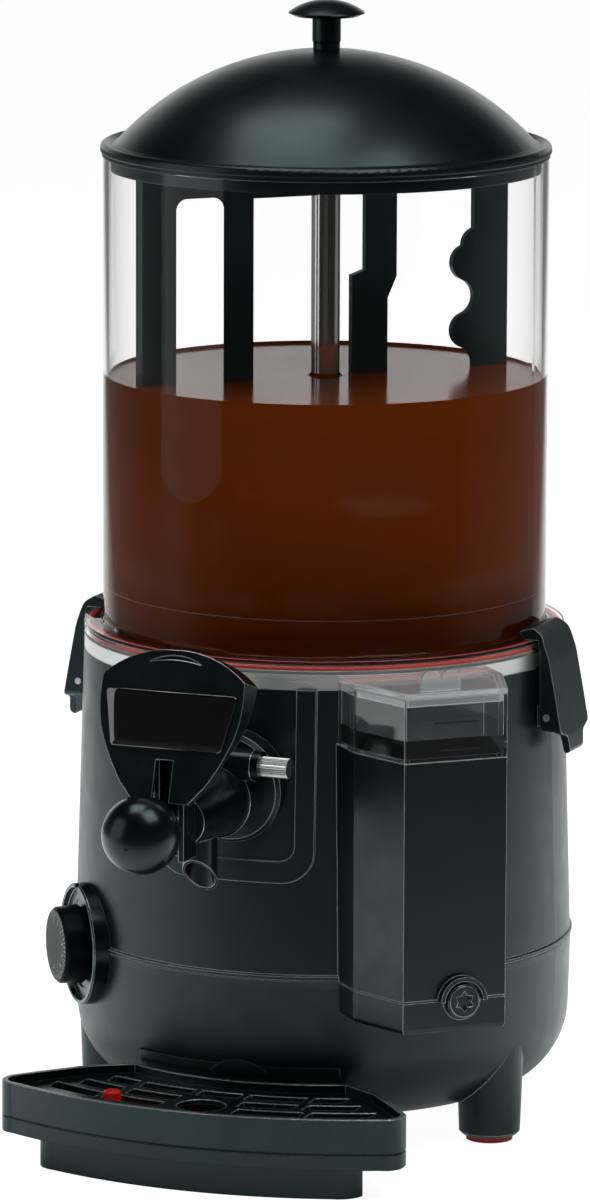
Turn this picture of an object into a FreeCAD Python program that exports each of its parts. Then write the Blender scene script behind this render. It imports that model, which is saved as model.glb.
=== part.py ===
import FreeCAD, Part
import math
import os

import Sketcher
from FreeCAD import Placement, Rotation, Vector

# Table-top hot chocolate dispenser: a clear bowl over a heated pot, a stirrer driven from below,
# a lever tap, a water filler and a drip tray.  Millimetres.  Every piece is laid out round the
# upright axis of the bowl, with +Z up and the tap towards -Y; bowl_axis_y then sets that axis
# behind the middle of the machine's footprint.

doc = FreeCAD.newDocument("hot_chocolate_dispenser")
sheet = doc.addObject("Spreadsheet::Sheet", "sizes")

# ------------------------------------------------------------------ sizes and their formulas


class Size:
    """A number together with the formula of sheet cells that gives it."""

    def __init__(self, value, formula):
        self.value = value
        self.formula = formula

    def __add__(self, other):
        other = as_size(other)
        return Size(self.value + other.value, f"({self.formula} + {other.formula})")

    def __sub__(self, other):
        other = as_size(other)
        return Size(self.value - other.value, f"({self.formula} - {other.formula})")

    def __rsub__(self, other):
        return as_size(other) - self

    def __mul__(self, other):
        other = as_size(other)
        return Size(self.value * other.value, f"({self.formula} * {other.formula})")

    def __truediv__(self, other):
        other = as_size(other)
        return Size(self.value / other.value, f"({self.formula} / {other.formula})")

    def __neg__(self):
        return Size(-self.value, f"(0 - {self.formula})")

    __radd__ = __add__
    __rmul__ = __mul__


def as_size(number):
    return number if isinstance(number, Size) else Size(float(number), repr(float(number)))


def sine(angle):
    angle = as_size(angle)
    return Size(math.sin(math.radians(angle.value)), f"sin({angle.formula})")


def cosine(angle):
    angle = as_size(angle)
    return Size(math.cos(math.radians(angle.value)), f"cos({angle.formula})")


def tangent(angle):
    return sine(angle) / cosine(angle)


def root(square):
    return Size(math.sqrt(square.value), f"sqrt({square.formula})")


class Dimensions:
    """The driving dimensions: each is a row of the sheet, and is read back by its name."""

    rows = 0

    def add(self, **sizes):
        for alias, value in sizes.items():
            self.rows += 1
            sheet.set(f"A{self.rows}", alias.replace("_", " "))
            sheet.set(f"B{self.rows}", str(value))
            sheet.setAlias(f"B{self.rows}", alias)
            setattr(self, alias, Size(float(value), f"sizes.{alias}"))


d = Dimensions()

# ------------------------------------------------------------------ outlines


class Arc:
    """Joins the corner before it to the corner after it by an arc that bulges to one side."""

    def __init__(self, radius, left=True):
        self.radius = as_size(radius)
        self.left = left


class Round:
    """A full circle in a sketch."""

    def __init__(self, x, y, radius):
        self.x, self.y, self.radius = as_size(x), as_size(y), as_size(radius)


def rectangle(half_width, low, high):
    """A rectangle centred across, from low to high."""
    half_width, low, high = as_size(half_width), as_size(low), as_size(high)
    return [(-half_width, low), (half_width, low), (half_width, high), (-half_width, high)]


def soften(corners, radius=None):
    """Rounds the corners of an outline with arcs that run into their sides.

    A corner of (x, y, radius) has a radius of its own, and one with no radius stays sharp.
    """
    corners = [(as_size(x), as_size(y), *(own or [radius])) for x, y, *own in corners]
    rounded = []
    for index, (x, y, radius) in enumerate(corners):
        if radius is None:
            rounded.append((x, y))
            continue
        before_x, before_y, _ = corners[index - 1]
        after_x, after_y, _ = corners[(index + 1) % len(corners)]
        in_x, in_y, out_x, out_y = x - before_x, y - before_y, after_x - x, after_y - y
        in_length, out_length = root(in_x * in_x + in_y * in_y), root(out_x * out_x + out_y * out_y)
        turning = in_x * out_y - in_y * out_x
        side = 1 if turning.value > 0 else -1
        reach = turning * side * radius / (in_length * out_length + in_x * out_x + in_y * out_y)
        rounded += [(x - in_x * reach / in_length, y - in_y * reach / in_length),
                    Arc(radius, left=side < 0),
                    (x + out_x * reach / out_length, y + out_y * reach / out_length)]
    return rounded


def mirrored(half):
    """An outline from its right half, listed upwards, and the same points to the left."""
    return half + [(-as_size(x), y, *own) for x, y, *own in reversed(half)]


# ------------------------------------------------------------------ document objects


def bind(item, prop, size):
    """Sets a property from a size and ties it to the sheet."""
    size = as_size(size)
    setattr(item, prop, size.value)
    item.setExpression(prop, size.formula)


def hold(sketch, kind, *place_and_size):
    """Adds a constraint whose value follows a size."""
    *place, size = place_and_size
    if kind != "Radius" and abs(size.value) < 1e-9:
        axis = -2 if kind == "DistanceX" else -1
        sketch.addConstraint(Sketcher.Constraint("PointOnObject", *place[2:], axis))
        return
    number = sketch.addConstraint(Sketcher.Constraint(kind, *place, size.value))
    sketch.setExpression(f"Constraints[{number}]", size.formula)


def arc_geometry(start, end, arc):
    """The arc between two corners; its centre lies on the side away from its bulge."""
    half = (end - start) * 0.5
    rise = math.sqrt(max(arc.radius.value ** 2 - half.Length ** 2, 0.0))
    leftward = Vector(-half.y, half.x, 0).normalize()
    centre = start + half - leftward * (rise if arc.left else -rise)
    first, last = (end, start) if arc.left else (start, end)
    turn_first = math.atan2(first.y - centre.y, first.x - centre.x)
    turn_last = math.atan2(last.y - centre.y, last.x - centre.x)
    if turn_last <= turn_first:
        turn_last += 2 * math.pi
    return Part.ArcOfCircle(Part.Circle(centre, Vector(0, 0, 1), arc.radius.value),
                            turn_first, turn_last)


def draw(sketch, outline):
    """Draws a closed outline, each of its corners held by two distances from the origin."""
    if isinstance(outline, Round):
        centre = Vector(outline.x.value, outline.y.value, 0)
        circle = sketch.addGeometry(Part.Circle(centre, Vector(0, 0, 1), outline.radius.value))
        hold(sketch, "Radius", circle, outline.radius)
        hold(sketch, "DistanceX", -1, 1, circle, 3, outline.x)
        hold(sketch, "DistanceY", -1, 1, circle, 3, outline.y)
        return
    corners = []
    arcs = {}
    for item in outline:
        if isinstance(item, Arc):
            arcs[len(corners) - 1] = item
        else:
            corners.append((as_size(item[0]), as_size(item[1])))
    points = [Vector(x.value, y.value, 0) for x, y in corners]
    sides = []
    for index, point in enumerate(points):
        after = points[(index + 1) % len(points)]
        arc = arcs.get(index)
        if arc is None:
            sides.append((sketch.addGeometry(Part.LineSegment(point, after)), 1, 2))
            continue
        number = sketch.addGeometry(arc_geometry(point, after, arc))
        hold(sketch, "Radius", number, arc.radius)
        sides.append((number, 2, 1) if arc.left else (number, 1, 2))
    for index, (side, start, _) in enumerate(sides):
        before, _, end = sides[index - 1]
        sketch.addConstraint(Sketcher.Constraint("Coincident", before, end, side, start))
    for (side, start, _), (x, y) in zip(sides, corners):
        hold(sketch, "DistanceX", -1, 1, side, start, x)
        hold(sketch, "DistanceY", -1, 1, side, start, y)


def new_sketch(body, role, outlines):
    sketch = body.newObject("Sketcher::SketchObject", body.Name + "_outline")
    plane = next(item for item in body.Origin.OriginFeatures if item.Role == role)
    sketch.AttachmentSupport = [(plane, "")]
    sketch.MapMode = "FlatFace"
    for outline in outlines:
        draw(sketch, outline)
    return sketch


def turned(name, *outline):
    """A turned piece: an outline of (radius, height) swept round its own Z."""
    body = doc.addObject("PartDesign::Body", name)
    sketch = new_sketch(body, "XZ_Plane", [outline])
    sweep = body.newObject("PartDesign::Revolution", name + "_turn")
    sweep.Profile = sketch
    sweep.ReferenceAxis = (sketch, ["V_Axis"])
    sweep.Angle = 360
    return body


def slab(name, thickness, *outlines, draft=0):
    """Outlines on its own XY plane, the first one outside, padded along its own Z."""
    body = doc.addObject("PartDesign::Body", name)
    pad = body.newObject("PartDesign::Pad", name + "_pad")
    pad.Profile = new_sketch(body, "XY_Plane", outlines)
    bind(pad, "Length", thickness)
    pad.TaperAngle = draft
    return body


def rod(name, radius, length):
    """A round bar along its own Z."""
    item = doc.addObject("Part::Cylinder", name)
    bind(item, "Radius", radius)
    bind(item, "Height", length)
    return item


def taper(name, low_radius, high_radius, length):
    """A cone along its own Z."""
    item = doc.addObject("Part::Cone", name)
    bind(item, "Radius1", low_radius)
    bind(item, "Radius2", high_radius)
    bind(item, "Height", length)
    return item


def soft_foot(body, radius):
    """Rounds the edges round the underside of a slab."""
    doc.recompute()
    pad = body.Tip
    edges = [f"Edge{number}" for number, edge in enumerate(pad.Shape.Edges, 1)
             if edge.BoundBox.ZMax < 0.01]
    item = body.newObject("PartDesign::Fillet", body.Name + "_soft_foot")
    item.Base = (pad, edges)
    bind(item, "Radius", radius)
    return body


def block(name, half_width, low, high, thickness):
    """A box centred on its own X, from low to high along its own Y, thickness along its own Z."""
    return slab(name, thickness, rectangle(half_width, low, high))


def join(name, *pieces):
    item = doc.addObject("Part::MultiFuse", name)
    item.Shapes = list(pieces)
    item.Refine = True
    return item


def group(name, *pieces):
    """Separate solids kept together under one name."""
    item = doc.addObject("Part::Compound", name)
    item.Links = list(pieces)
    return item


def cut(name, base, *tools):
    item = doc.addObject("Part::Cut", name)
    item.Base = base
    item.Tool = tools[0] if len(tools) == 1 else join(name + "_tools", *tools)
    item.Refine = True
    return item


def common(name, first, second):
    item = doc.addObject("Part::MultiCommon", name)
    item.Shapes = [first, second]
    return item


# ------------------------------------------------------------------ places

spots = {}


def move(item, x, y, z, rotation=None):
    """Puts an object at (x, y, z), turned by rotation."""
    spot = [as_size(size) for size in (x, y, z)]
    item.Placement = Placement(Vector(*[size.value for size in spot]), rotation or Rotation())
    for letter, size in zip("xyz", spot):
        item.setExpression(f"Placement.Base.{letter}", size.formula)
    spots[item.Name] = spot
    return item


def stand(item, x=0, y=0, z=0, turn=0):
    """Upright at (x, y, z), then swung round the bowl axis by turn."""
    x, y, turn = as_size(x), as_size(y), as_size(turn)
    return move(item, x * cosine(turn) - y * sine(turn), x * sine(turn) + y * cosine(turn), z,
                Rotation(Vector(0, 0, 1), turn.value))


def face(item, x=0, forward=0, z=0, turn=0, dip=0):
    """Laid so that its own Z points to the front, its own Y up and its own X to the right.

    It dips by dip degrees, and is then swung round the bowl axis by turn.
    """
    x, forward, turn = as_size(x), as_size(forward), as_size(turn)
    lay = Rotation(Vector(1, 0, 0), 90 + as_size(dip).value)
    return move(item, x * cosine(turn) + forward * sine(turn),
                x * sine(turn) - forward * cosine(turn), z,
                Rotation(Vector(0, 0, 1), turn.value).multiply(lay))


def side_on(item, x=0, y=0, z=0):
    """Laid so that its own Z points to the right, its own X to the back and its own Y up."""
    lay = Rotation(Vector(1, 0, 0), 90)
    return move(item, x, y, z, Rotation(Vector(0, 0, 1), 90).multiply(lay))


nodes = []


def node(item, label):
    """Names a finished piece, and moves it from the bowl axis to its place in the machine."""
    x, y, z = spots.get(item.Name, [as_size(0)] * 3)
    move(item, x, y + d.bowl_axis_y, z, item.Placement.Rotation)
    item.Label = label
    nodes.append(item)
    return item


# ------------------------------------------------------------------ bowl and its gasket

d.add(bowl_axis_y=58, clearance=0.3, running_fit=0.05)
d.add(bowl_radius=114.5, bowl_wall=3, bowl_top=500, bowl_foot=256.5, bowl_flange_radius=124,
      bowl_flange_thickness=2.8, bowl_foot_radius=108, bowl_step=1.2, bowl_root_radius=2.5,
      bowl_skirt_inner=121.6, bowl_skirt_foot=254.2, bowl_nick=0.7)
d.add(foot_step_low=264, foot_step_middle=270, foot_step_high=278)
d.add(gasket_inner=110.5, gasket_outer=122.8, gasket_lip=254, rim_top=252.5)

flange_top = d.bowl_foot + d.bowl_flange_thickness
bowl_inner = d.bowl_radius - d.bowl_wall
node(turned(
    "bowl_body",
    (d.bowl_foot_radius, d.bowl_foot),
    (d.bowl_skirt_inner, d.bowl_foot),
    (d.bowl_skirt_inner, d.bowl_skirt_foot),
    (d.bowl_flange_radius, d.bowl_skirt_foot),
    (d.bowl_flange_radius, d.bowl_foot - d.bowl_nick / 2),
    (d.bowl_flange_radius - d.bowl_nick, d.bowl_foot + d.bowl_nick / 2),
    (d.bowl_flange_radius, d.bowl_foot + d.bowl_nick * 1.5),
    (d.bowl_flange_radius, flange_top),
    (d.bowl_radius + d.bowl_root_radius, flange_top),
    Arc(d.bowl_root_radius), (d.bowl_radius, flange_top + d.bowl_root_radius),
    (d.bowl_radius, d.bowl_top),
    (bowl_inner, d.bowl_top),
    (bowl_inner, d.foot_step_high),
    (bowl_inner - d.bowl_step, d.foot_step_high - d.bowl_step),
    (bowl_inner - d.bowl_step, d.foot_step_middle),
    (bowl_inner - d.bowl_step * 2, d.foot_step_middle - d.bowl_step),
    (bowl_inner - d.bowl_step * 2, d.foot_step_low),
    (d.bowl_foot_radius, d.foot_step_low - d.bowl_step)), "bowl")
node(turned(
    "gasket_body",
    (d.gasket_inner, d.rim_top),
    (d.gasket_outer, d.rim_top),
    (d.gasket_outer, d.gasket_lip),
    (d.bowl_skirt_inner - d.clearance, d.gasket_lip),
    (d.bowl_skirt_inner - d.clearance, d.bowl_foot),
    (d.gasket_inner, d.bowl_foot)), "bowl_gasket")

# ------------------------------------------------------------------ lid and its knob

d.add(dome_radius=145.2, dome_middle=409.4, dome_foot_radius=107.5, lid_wall=2.5)
d.add(lid_rim_radius=115.7, lid_rim_top=507, lid_bead_radius=2.4, lid_valley_radius=110.6,
      lid_valley_drop=1.6, lid_lip_radius=114.9, lid_lip_top=502.4, lid_seat=500.3,
      lid_skirt_radius=110.3, lid_skirt_foot=493.6)
d.add(knob_stem_radius=7.3, knob_collar_radius=6.9, knob_collar_top=558.8, knob_neck=572.3,
      knob_cap_radius=19.6, knob_edge=1.5, knob_top=580)
d.add(knob_screw_radius=2, knob_screw_head_radius=4.5, knob_screw_head=3, knob_screw_reach=16)


def dome_height(radius, dome):
    """Height of the dome's surface at a distance from its axis."""
    radius, dome = as_size(radius), as_size(dome)
    return d.dome_middle + root(dome * dome - radius * radius)


inner_dome = d.dome_radius - d.lid_wall
skirt_inner = d.lid_skirt_radius - d.lid_wall
dome_inner_foot = d.dome_foot_radius - d.lid_wall
node(turned(
    "lid_body",
    (d.knob_screw_radius, dome_height(d.knob_screw_radius, d.dome_radius)),
    Arc(d.dome_radius), (d.dome_foot_radius, dome_height(d.dome_foot_radius, d.dome_radius)),
    (d.lid_valley_radius, d.lid_rim_top - d.lid_valley_drop),
    (d.lid_rim_radius - d.lid_bead_radius, d.lid_rim_top),
    Arc(d.lid_bead_radius), (d.lid_rim_radius, d.lid_rim_top - d.lid_bead_radius),
    (d.lid_rim_radius, d.lid_lip_top + d.clearance),
    (d.lid_lip_radius, d.lid_lip_top),
    (d.lid_lip_radius, d.lid_seat),
    (d.lid_skirt_radius, d.lid_seat),
    (d.lid_skirt_radius, d.lid_skirt_foot),
    (skirt_inner, d.lid_skirt_foot),
    (skirt_inner, d.lid_seat),
    (dome_inner_foot, dome_height(dome_inner_foot, inner_dome)),
    Arc(inner_dome, left=False),
    (d.knob_screw_radius, dome_height(d.knob_screw_radius, inner_dome))), "lid")

screw_seat = dome_height(d.knob_screw_head_radius, inner_dome)
screw_tip = screw_seat + d.knob_screw_reach
crown_foot = d.knob_cap_radius - d.knob_edge / 4
crown_rise = d.knob_top - d.knob_neck - d.knob_edge
crown_radius = (crown_foot * crown_foot + crown_rise * crown_rise) / (crown_rise * 2)
node(turned(
    "knob_body",
    (0, screw_tip),
    (d.knob_screw_radius, screw_tip),
    (d.knob_screw_radius, dome_height(d.knob_screw_radius, d.dome_radius)),
    Arc(d.dome_radius), (d.knob_collar_radius, dome_height(d.knob_collar_radius, d.dome_radius)),
    (d.knob_collar_radius, d.knob_collar_top - 1),
    (d.knob_stem_radius, d.knob_collar_top),
    (d.knob_stem_radius, d.knob_neck - 1),
    (d.knob_cap_radius - d.knob_edge * 2, d.knob_neck - d.knob_edge / 2),
    (d.knob_cap_radius, d.knob_neck + d.knob_edge / 2),
    (crown_foot, d.knob_neck + d.knob_edge),
    Arc(crown_radius, left=False), (0, d.knob_top)), "lid_knob")
node(turned(
    "knob_screw_body",
    (0, screw_seat - d.knob_screw_head),
    (d.knob_screw_head_radius, screw_seat - d.knob_screw_head),
    (d.knob_screw_head_radius, screw_seat),
    (d.knob_screw_radius, screw_seat),
    (d.knob_screw_radius, screw_tip),
    (0, screw_tip)), "lid_knob_screw")

# ------------------------------------------------------------------ pot, water bath and heater

d.add(steel=1.2, rim_radius=124, rim_foot=245, pot_radius=107.2, pot_corner=8, pot_floor=182)
d.add(jacket_radius=117, jacket_top=239, jacket_floor=118)
d.add(tube_radius=7.5, tube_wall=1.2, tube_foot=110, tube_top=485)
d.add(heater_radius=80, heater_wire=4, heater_height=130, heater_leg_spacing=16,
      heater_leg_foot=106)
d.add(cutout_radius=12, cutout_height=9, cutout_distance=45)

pot_inner = d.pot_radius - d.steel
pot_shell = turned(
    "pot_shell",
    (d.rim_radius, d.rim_foot),
    (d.rim_radius, d.rim_top),
    (pot_inner, d.rim_top),
    (pot_inner, d.pot_floor + d.steel + d.pot_corner),
    (pot_inner - d.pot_corner, d.pot_floor + d.steel),
    (d.tube_radius, d.pot_floor + d.steel),
    (d.tube_radius, d.pot_floor),
    (d.pot_radius - d.pot_corner, d.pot_floor),
    (d.pot_radius, d.pot_floor + d.pot_corner),
    (d.pot_radius, d.rim_top - d.steel),
    (d.rim_radius - d.steel, d.rim_top - d.steel),
    (d.rim_radius - d.steel, d.rim_foot))
jacket_shell = turned(
    "jacket_shell",
    (d.pot_radius, d.jacket_top),
    (d.pot_radius, d.jacket_top - d.steel),
    (d.jacket_radius - d.steel, d.jacket_top - d.steel),
    (d.jacket_radius - d.steel, d.jacket_floor + d.steel),
    (d.tube_radius, d.jacket_floor + d.steel),
    (d.tube_radius, d.jacket_floor),
    (d.jacket_radius, d.jacket_floor),
    (d.jacket_radius, d.jacket_top))
node(turned(
    "tube_body",
    (d.tube_radius - d.tube_wall, d.tube_foot),
    (d.tube_radius, d.tube_foot),
    (d.tube_radius, d.tube_top),
    (d.tube_radius - d.tube_wall, d.tube_top)), "centre_tube")

heater_leg = [stand(rod(f"heater_leg_{side}", d.heater_wire, d.heater_height - d.heater_leg_foot),
                    x=d.heater_leg_spacing * sign, y=root(d.heater_radius * d.heater_radius
                                                         - d.heater_leg_spacing * d.heater_leg_spacing),
                    z=d.heater_leg_foot) for side, sign in (("left", -1), ("right", 1))]
heater_holes = [stand(rod(f"heater_hole_{side}", d.heater_wire, d.steel * 3),
                      x=d.heater_leg_spacing * sign,
                      y=root(d.heater_radius * d.heater_radius
                             - d.heater_leg_spacing * d.heater_leg_spacing),
                      z=d.jacket_floor - d.steel) for side, sign in (("left", -1), ("right", 1))]
heater_side = d.heater_wire * tangent(22.5)
heater_loop = turned(
    "heater_loop",
    *[(d.heater_radius + across, along) for across, along in (
        (-heater_side, -d.heater_wire), (heater_side, -d.heater_wire),
        (d.heater_wire, -heater_side), (d.heater_wire, heater_side),
        (heater_side, d.heater_wire), (-heater_side, d.heater_wire),
        (-d.heater_wire, heater_side), (-d.heater_wire, -heater_side))])
node(join("heater_body", stand(heater_loop, z=d.heater_height), *heater_leg), "heater_element")
node(stand(rod("cutout_body", d.cutout_radius, d.cutout_height), x=-d.cutout_distance,
           z=d.jacket_floor - d.cutout_height), "overheat_cutout")

# ------------------------------------------------------------------ drive: motor, shaft, stirrer

d.add(plate_height=100, plate_thickness=2, plate_half_width=106, plate_front=-46, plate_waist=-18,
      plate_back=98, plate_back_half_width=66, plate_corner=10)
d.add(shaft_radius=4, shaft_foot=70, shaft_top=492, bush_length=11, motor_radius=28,
      motor_foot=32, gearbox_radius=38, gearbox_foot=62)
d.add(hub_radius=13, hub_foot=482, hub_top=493.2)
d.add(stirrer_turn=45, paddle_top=493.2, paddle_foot=192, paddle_bar_height=13, paddle_floor_bar=14,
      window_corner=13.5)
d.add(paddle_reach=102.6, paddle_thickness=9, paddle_bar_outer=92, paddle_bar_inner=51,
      paddle_hub_side=42, paddle_bevel_angle=45)
d.add(comb_reach=102.5, comb_thickness=4.5, comb_edge=83, comb_wave_depth=12.3,
      comb_wave_pitch=35.4, comb_first_wave=458.5, comb_bar_low=14, comb_bar_low_outer=34,
      comb_bar_high=21.5, comb_bar_high_outer=39, comb_step_top=440, comb_step_height=11,
      comb_shelf=2.5)
comb_waves = 5

plate_holes = [d.shaft_radius * 2]
post_turns = (73, 152, -73, -152)
d.add(post_distance=100, post_radius=6, plate_screw_radius=2, plate_screw_head_radius=4,
      plate_screw_head=2.4, plate_screw_reach=12)


def post_spot(turn):
    """Place of a post over a leg, turn degrees round from the front."""
    return d.post_distance * sine(turn), -(d.post_distance * cosine(turn))


node(slab("plate_body", d.plate_thickness,
          soften(mirrored([(d.plate_half_width, d.plate_front), (d.plate_half_width, d.plate_waist),
                           (d.plate_back_half_width, d.plate_back)]), d.plate_corner),
          Round(0, 0, d.shaft_radius * 2),
          *[Round(*post_spot(turn), d.plate_screw_radius) for turn in post_turns]), "motor_plate")
stand(nodes[-1], y=d.bowl_axis_y, z=d.plate_height)
node(turned(
    "motor_body",
    (0, d.motor_foot),
    (d.motor_radius, d.motor_foot),
    (d.motor_radius, d.gearbox_foot),
    (d.gearbox_radius, d.gearbox_foot),
    (d.gearbox_radius, d.plate_height),
    (d.shaft_radius + d.running_fit, d.plate_height),
    (d.shaft_radius + d.running_fit, d.shaft_foot),
    (0, d.shaft_foot)), "gear_motor")
node(group("plate_screws_body", *[
    stand(turned(
        f"plate_screw_{index}",
        (0, d.plate_thickness - d.plate_screw_reach),
        (d.plate_screw_radius, d.plate_thickness - d.plate_screw_reach),
        (d.plate_screw_radius, d.plate_thickness),
        (d.plate_screw_head_radius, d.plate_thickness),
        (d.plate_screw_head_radius, d.plate_thickness + d.plate_screw_head),
        (0, d.plate_thickness + d.plate_screw_head)), *post_spot(turn), d.plate_height)
    for index, turn in enumerate(post_turns)]), "plate_screws")
node(stand(rod("shaft_body", d.shaft_radius, d.shaft_top - d.shaft_foot - d.clearance),
           z=d.shaft_foot + d.clearance), "drive_shaft")
for name, foot in (("lower_bush", d.tube_foot), ("upper_bush", d.tube_top - d.bush_length)):
    node(turned(
        name + "_body",
        (d.shaft_radius + d.running_fit, foot),
        (d.tube_radius - d.tube_wall, foot),
        (d.tube_radius - d.tube_wall, foot + d.bush_length),
        (d.shaft_radius + d.running_fit, foot + d.bush_length)), name)

bar_foot = d.paddle_top - d.paddle_bar_height
floor_bar_top = d.paddle_foot + d.paddle_floor_bar
paddle_frame = slab(
    "paddle_frame", d.paddle_thickness,
    [(-d.paddle_reach, d.paddle_foot), (-d.paddle_hub_side, d.paddle_foot),
     (-d.paddle_hub_side, bar_foot), (0, bar_foot), (0, d.paddle_top),
     (-d.paddle_reach, d.paddle_top)])
paddle_window = slab(
    "paddle_window", d.paddle_thickness,
    soften([(-d.paddle_bar_outer, floor_bar_top), (-d.paddle_bar_inner, floor_bar_top),
            (-d.paddle_bar_inner, bar_foot + d.paddle_thickness),
            (-d.paddle_bar_outer, bar_foot + d.paddle_thickness)], d.window_corner), draft=-40)
wave_middle = d.comb_edge - d.comb_wave_depth / 2
half_pitch = d.comb_wave_pitch / 2
wave_radius = ((half_pitch / 2) * (half_pitch / 2) + (d.comb_wave_depth / 2) * (d.comb_wave_depth / 2)
               ) / d.comb_wave_depth
wave_edge = []
for wave in range(comb_waves * 2):
    wave_edge += [(wave_middle, d.comb_first_wave - half_pitch / 2 - half_pitch * wave),
                  Arc(wave_radius, left=wave % 2 == 1)]
wave_end = d.comb_first_wave - half_pitch / 2 - half_pitch * (comb_waves * 2)
step_foot = d.comb_step_top - d.comb_step_height
comb_frame = slab(
    "comb_frame", d.comb_thickness,
    [(0, bar_foot), (d.comb_bar_high, bar_foot), (d.comb_bar_high, d.comb_step_top),
     (d.comb_bar_low, d.comb_step_top - d.comb_shelf), (d.comb_bar_low, d.paddle_foot),
     (d.comb_reach, d.paddle_foot), (d.comb_reach, d.paddle_top), (0, d.paddle_top)],
    [(d.comb_bar_high_outer, bar_foot), (d.comb_edge, bar_foot), (d.comb_edge, d.comb_first_wave),
     Arc(wave_radius, left=False)] + wave_edge + [
        (wave_middle, wave_end), (wave_middle, floor_bar_top), (d.comb_bar_low_outer, floor_bar_top),
        (d.comb_bar_low_outer, step_foot - 4), (d.comb_bar_high_outer, d.comb_step_top - 4)])
hub = stand(rod("hub_body", d.hub_radius, d.hub_top - d.hub_foot), z=d.hub_foot)
shaft_hole = stand(rod("hub_hole", d.shaft_radius, d.shaft_top - d.hub_foot + 1), z=d.hub_foot - 1)
stirrer_frame = join(
    "stirrer_frame",
    face(cut("paddle_wing", paddle_frame, paddle_window), forward=-d.paddle_thickness / 2,
         turn=d.stirrer_turn),
    face(comb_frame, forward=-d.comb_thickness / 2, turn=d.stirrer_turn), hub)
tube_pocket = stand(rod("tube_pocket", d.tube_radius + 0.7, d.bush_length), z=d.tube_top + 1 - d.bush_length)
node(cut("stirrer_body", stirrer_frame, shaft_hole, tube_pocket), "stirrer")

# ------------------------------------------------------------------ casings, column and feet

d.add(seam=96, seam_gap=0.6, seam_groove=0.9, seam_radius=129.7, seam_step=2.4, casing_low_radius=128.6, casing_low=99.2,
      casing_top_radius=124.3, casing_top=245, casing_wall=3, casing_ledge_radius=115)
d.add(lip_foot=88, lip_outer=125.2, lip_inner=122.6)
d.add(base_floor=17, base_flat_radius=86, base_bend=42, base_bend_top=59, base_shoulder=92.5,
      base_shoulder_radius=128.9, base_rim_radius=129.3, base_rim_inner=125.4)
d.add(leg_distance=110, leg_foot=3, leg_foot_radius=15.7, leg_top=54, leg_top_radius=17.5,
      leg_trim_radius=127.9, leg_chamfer=1.5, pad_radius=12, pad_height=6)
d.add(vent_half_width=26, vent_width=4, vent_pitch=10, vent_first=52)
d.add(column_turn=43, column_front=179.4, column_front_half=27.6, column_side_half=39.9,
      column_chamfer=71.3, column_foot=79.4, column_top=217.8, column_root=112)
d.add(border_inner=33, border_outer=42.5, border_inner_foot=157.3, border_outer_foot=146.2,
      border_outer_corner=16, border_inner_corner=8, border_height=1.5)
d.add(lug_half_width=16.8, lug_radius=3, latch_pin_radius=1.6, latch_pivot_x=130.1,
      latch_pivot_z=219.8, latch_half_width=20.6)
d.add(dial_turn=-50.3, dial_height=95.3, dial_shaft_radius=3, dial_hole_radius=5)
d.add(tap_forward=126, tap_height=195.6, tap_dip=4.9, pipe_outer=12.5, pipe_inner=11)
d.add(drain_side=3.6, drain_height=95.8, drain_ring_radius=10.2, hood_outer=12.4,
      hood_foot=178.5, hood_front=184)
d.add(drain_pipe_outer=6, drain_pipe_inner=4.5, drain_pipe_rise=150, drain_pipe_top=127)
d.add(feed_side=-14, feed_height=150, feed_outer=5, feed_inner=3.6)
d.add(switch_height=160, switch_half_width=12.5, switch_half_height=15)
d.add(gland_height=68, gland_radius=8)
d.add(casing_screw_radius=1.6, casing_screw_height=91.5)

taper_rate = (d.casing_low_radius - d.casing_top_radius) / (d.casing_top - d.casing_low)


def casing_radius(height):
    """Outer radius of the upper casing at a height."""
    return d.casing_top_radius + (d.casing_top - as_size(height)) * taper_rate


def casing_envelope(name, foot, inset=0):
    """The solid space inside the upper casing's outer surface, from its flare up."""
    inset = as_size(inset)
    return turned(
        name,
        (0, foot),
        (d.seam_radius + d.clearance, foot),
        (d.seam_radius + d.clearance, d.seam),
        (d.seam_radius - inset, d.seam),
        (d.seam_radius - inset, d.seam + d.seam_step),
        (d.casing_low_radius - inset, d.casing_low),
        (d.casing_top_radius - inset, d.casing_top),
        (0, d.casing_top))


def column_outline(inset, back_radius):
    """The filler column seen from above, its back rounded to the casing."""
    inset = as_size(inset)
    front = d.column_front - inset
    front_half = d.column_front_half - inset * tangent(d.column_chamfer / 2)
    side_half = d.column_side_half - inset
    side_front = front - (side_half - front_half) * tangent(d.column_chamfer)
    back = root(as_size(back_radius) * back_radius - side_half * side_half)
    return [(-front_half, -front), (front_half, -front), (side_half, -side_front),
            (side_half, -back), Arc(back_radius), (-side_half, -back), (-side_half, -side_front)]


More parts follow.
